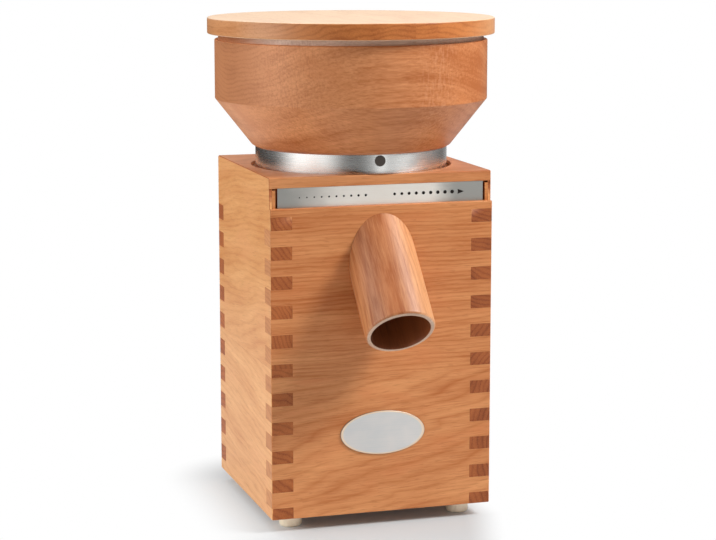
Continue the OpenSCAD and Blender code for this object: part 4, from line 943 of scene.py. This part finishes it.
switchMarks = {"bar": (0.9, 4.4), "ring": (2.4, 1.6), "facing": 0.8, "least": 30 * mm * mm}
finishes["switch_ink"] = makePlastic("switch_ink", {
    "dark": srgb(206, 206, 202), "light": srgb(232, 232, 228), "rough": 0.6, "grain": 0.4, "relief": 0.01})


def touchFace(half):  # the middle and the slant of the rocker's upper (1) or lower (-1) face
    low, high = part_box("switch_rocker")
    faces = [face for face in nodes["switch_rocker"].data.polygons
             if face.normal.x > switchMarks["facing"] and face.area > switchMarks["least"]
             and (face.center.z - (low.z + high.z) / 2) * half > 0]
    area = sum(face.area for face in faces)
    return sum((face.center * face.area for face in faces), Vector()) / area, faces[0].normal


def makeSwitchMarks():  # a bar for on, a ring for off
    bm = bmesh.new()
    places = []
    for half in (1, -1):
        middle, out = touchFace(half)
        upward = (Vector((0, 0, 1)) - out * out.z).normalized()
        sideways = upward.cross(out)
        places.append(lambda side, up, rise, m=middle, s=sideways, u=upward, o=out:
                      m + (s * side + u * up + o * rise) * mm)
    wide, tall = (size / 2 for size in switchMarks["bar"])
    raisedShape(bm, [(-wide, -tall), (wide, -tall), (wide, tall), (-wide, tall)], places[0])
    outer, inner = switchMarks["ring"]
    sunk, thick = -printed["sunk"], printed["thick"]
    columns = []
    for a in roundTurn(2 * printed["segments"]):
        c, s = math.cos(a), math.sin(a)
        columns.append([bm.verts.new(places[1](r * c, r * s, rise))
                        for r, rise in ((outer, sunk), (outer, thick), (inner, thick), (inner, sunk))])
    joinRings(bm, columns)
    return bm


newPiece("switch_marks", makeSwitchMarks(), "switch_ink", "rocker")

print("scale, badge, feet, springs and switch marks made")

white = (1, 1, 1, 1)
ambient = 0.28  # the room's own light, where the camera and reflections see plain white
floor = {
    # near the box the camera sees a darker paint than the lamps light with: a painted shadow zone
    "size": 3.2, "segments": 96, "paint": (0.75, 0.8, 0.83, 1), "seenPaintedShadow": (0.54, 0.56, 0.57, 1),
    "lift": 0.02, "seenFade": (0.0, 0.078), "litFade": (0.4, 1.2), "frontFade": (0.14, 0.4),
    # on each side: how the shadow leans as it comes forward, how far inside the box its edge starts
    # and how far it carries
    "left": {"shear": 0.55, "inset": 0.033, "reach": 1},
    "right": {"shear": 0.33, "inset": 0.02, "reach": 0.4},
}
roomRing = {"radius": 0.8, "low": 0.002, "height": 1.2, "fade": 0.9, "back": (1.8, 2.2), "backDrop": 0.6,
            "segments": 96}  # back: the bearings, in radians, between which the boards sink
# what the bright metal sees round the room: (degrees from the front towards the right, shade)
roomShades = [(-180, 0.03), (-110, 0.03), (-97, 0.3), (-84, 0.8), (-70, 1.0), (-50, 1.0), (-40, 0.65),
              (-28, 0.15), (-18, 0.0), (-6, 0.0), (9, 0.28), (15, 0.8), (21, 0.8), (27, 0.42), (62, 0.36),
              (92, 0.25), (120, 0.12), (146, 0.4), (180, 0.03)]


def stagePiece(name, bm, finish):
    piece = addObject(name, bm, finish.material)
    return piece


def seenRays(finish):  # what the camera sees, by itself or through a reflection
    path = finish.add("ShaderNodeLightPath", output="Is Camera Ray")
    return path + path.other("Is Glossy Ray") + path.other("Is Transmission Ray")


def roomStrength(seen):  # full for what is seen, dim for what lights the mill
    return seen * (1 - ambient) + ambient


def makeFloor():
    finish = Finish("studio_floor")
    here = finish.add("ShaderNodeTexCoord", output="Object")
    distance = finish.add("ShaderNodeVectorMath", {"operation": "LENGTH"}, {0: here}, "Value")
    seen = seenRays(finish)
    litFade = finish.ramp(distance, *floor["litFade"])
    x, y, _ = finish.split(here)
    before = finish.larger((y - axis.y) * -1 - halfDepth, 0.0)
    behind = finish.larger((y - axis.y) - halfDepth, 0.0)
    left, right = floor["left"], floor["right"]
    toRight = x + before * right["shear"] - (halfWidth - right["inset"])
    toLeft = (x + before * left["shear"]) * -1 - (halfWidth - left["inset"])
    beside = finish.larger(toRight, 0.0) / right["reach"] + finish.larger(toLeft, 0.0) / left["reach"]
    away = (beside * beside + behind * behind) ** 0.5  # from the box, which keeps its shadow
    near = (1 - finish.ramp(away, *floor["seenFade"])) * (1 - finish.ramp(before, *floor["frontFade"]))
    fade = (1 - near - litFade) * seen + litFade
    # painted shadow: the camera's darker floor paint greys the kept zone beside and in front of the box
    colour = finish.mix(floor["paint"], floor["seenPaintedShadow"], seen)
    paint = finish.add("ShaderNodeBsdfDiffuse", {}, {"Color": colour})
    lift = finish.add("ShaderNodeEmission", {}, {"Color": white, "Strength": seen * floor["lift"]})
    close = finish.add("ShaderNodeAddShader", {}, {0: paint, 1: lift})
    far = finish.add("ShaderNodeEmission", {}, {"Color": white, "Strength": roomStrength(seen)})
    surface = finish.add("ShaderNodeMixShader", {}, {0: fade, 1: close, 2: far})
    finish.add("ShaderNodeOutputMaterial", {}, {"Surface": surface})
    bm = bmesh.new()
    bmesh.ops.create_circle(bm, cap_ends=True, radius=floor["size"], segments=floor["segments"])
    stagePiece("studio_floor", bm, finish)


def makeWorld():
    world = bpy.data.worlds.new("studio_world")
    scene.world = world
    finish = Finish("studio_world", world)
    strength = roomStrength(seenRays(finish))
    background = finish.add("ShaderNodeBackground", {}, {"Color": white, "Strength": strength})
    finish.add("ShaderNodeOutputWorld", {}, {"Surface": background})


def makeRoomRing():  # dark and bright boards round the table that only reflections see
    finish = Finish("room_ring")
    x, y, z = finish.split(finish.add("ShaderNodeTexCoord", output="Object"))
    bearing = finish.maths("ARCTAN2", x, y * -1)
    stops = [((degrees + 180) / 360, shade) for degrees, shade in roomShades]
    shade = finish.add("ShaderNodeValToRGB", {"stops": stops}, {0: bearing / (2 * math.pi) + 0.5})
    back = finish.ramp(finish.size(bearing), *roomRing["back"])
    high = finish.ramp(z + back * roomRing["backDrop"], roomRing["fade"], roomRing["height"])
    glow = finish.add("ShaderNodeEmission", {}, {"Color": finish.mix(shade, white, high), "Strength": 1.0})
    finish.add("ShaderNodeOutputMaterial", {}, {"Surface": glow})
    bm = bmesh.new()
    turns, radius = roundTurn(roomRing["segments"]), roomRing["radius"]
    rims = [[bm.verts.new((radius * math.cos(a), radius * math.sin(a), height)) for a in turns]
            for height in (roomRing["low"], roomRing["height"])]
    joinLoops(bm, *rims)
    ring = stagePiece("room_ring", bm, finish)
    ring.visible_camera = ring.visible_diffuse = ring.visible_shadow = ring.visible_transmission = False


# soft lamps, all at one distance from the middle of the mill; bearings are counted as in the ring
lamps = {
    "lamp_key": {"bearing": 59, "height": 41, "size": (0.45, 0.45), "power": 25},
    "lamp_left": {"bearing": -88, "height": 15, "size": (1.1, 1.0), "power": 13.5},
    "lamp_above": {"bearing": -140, "height": 60, "size": (1.1, 1.0), "power": 9},
}
lampAim = Vector((0, 0, 0.18))
lampDistance = 1.5


def addLamp(name, lamp):
    side, up = math.radians(lamp["bearing"]), math.radians(lamp["height"])
    way = Vector((math.sin(side) * math.cos(up), -math.cos(side) * math.cos(up), math.sin(up)))
    data = bpy.data.lights.new(name, "AREA")
    data.shape = "RECTANGLE"
    data.size, data.size_y = lamp["size"]
    data.energy = lamp["power"]
    light = bpy.data.objects.new(name, data)
    light.location = lampAim + way * lampDistance
    light.rotation_euler = (-way).to_track_quat("-Z", "Y").to_euler()
    scene.collection.objects.link(light)


makeFloor()
makeWorld()
makeRoomRing()
for name, lamp in lamps.items():
    addLamp(name, lamp)

camera = {"yaw": 17.199, "down": 9.562, "lens": 105.314, "sensor": 36,
          "place": (-0.42592, -1.3779, 0.41014)}
cameraData = bpy.data.cameras.new("main_camera")
cameraData.lens = camera["lens"]
cameraData.sensor_width = camera["sensor"]
cameraObject = bpy.data.objects.new("main_camera", cameraData)
cameraObject.location = camera["place"]
cameraObject.rotation_euler = (math.radians(90 - camera["down"]), 0, math.radians(-camera["yaw"]))
scene.collection.objects.link(cameraObject)
scene.camera = cameraObject
scene.view_settings.view_transform = "Standard"

print("studio made")
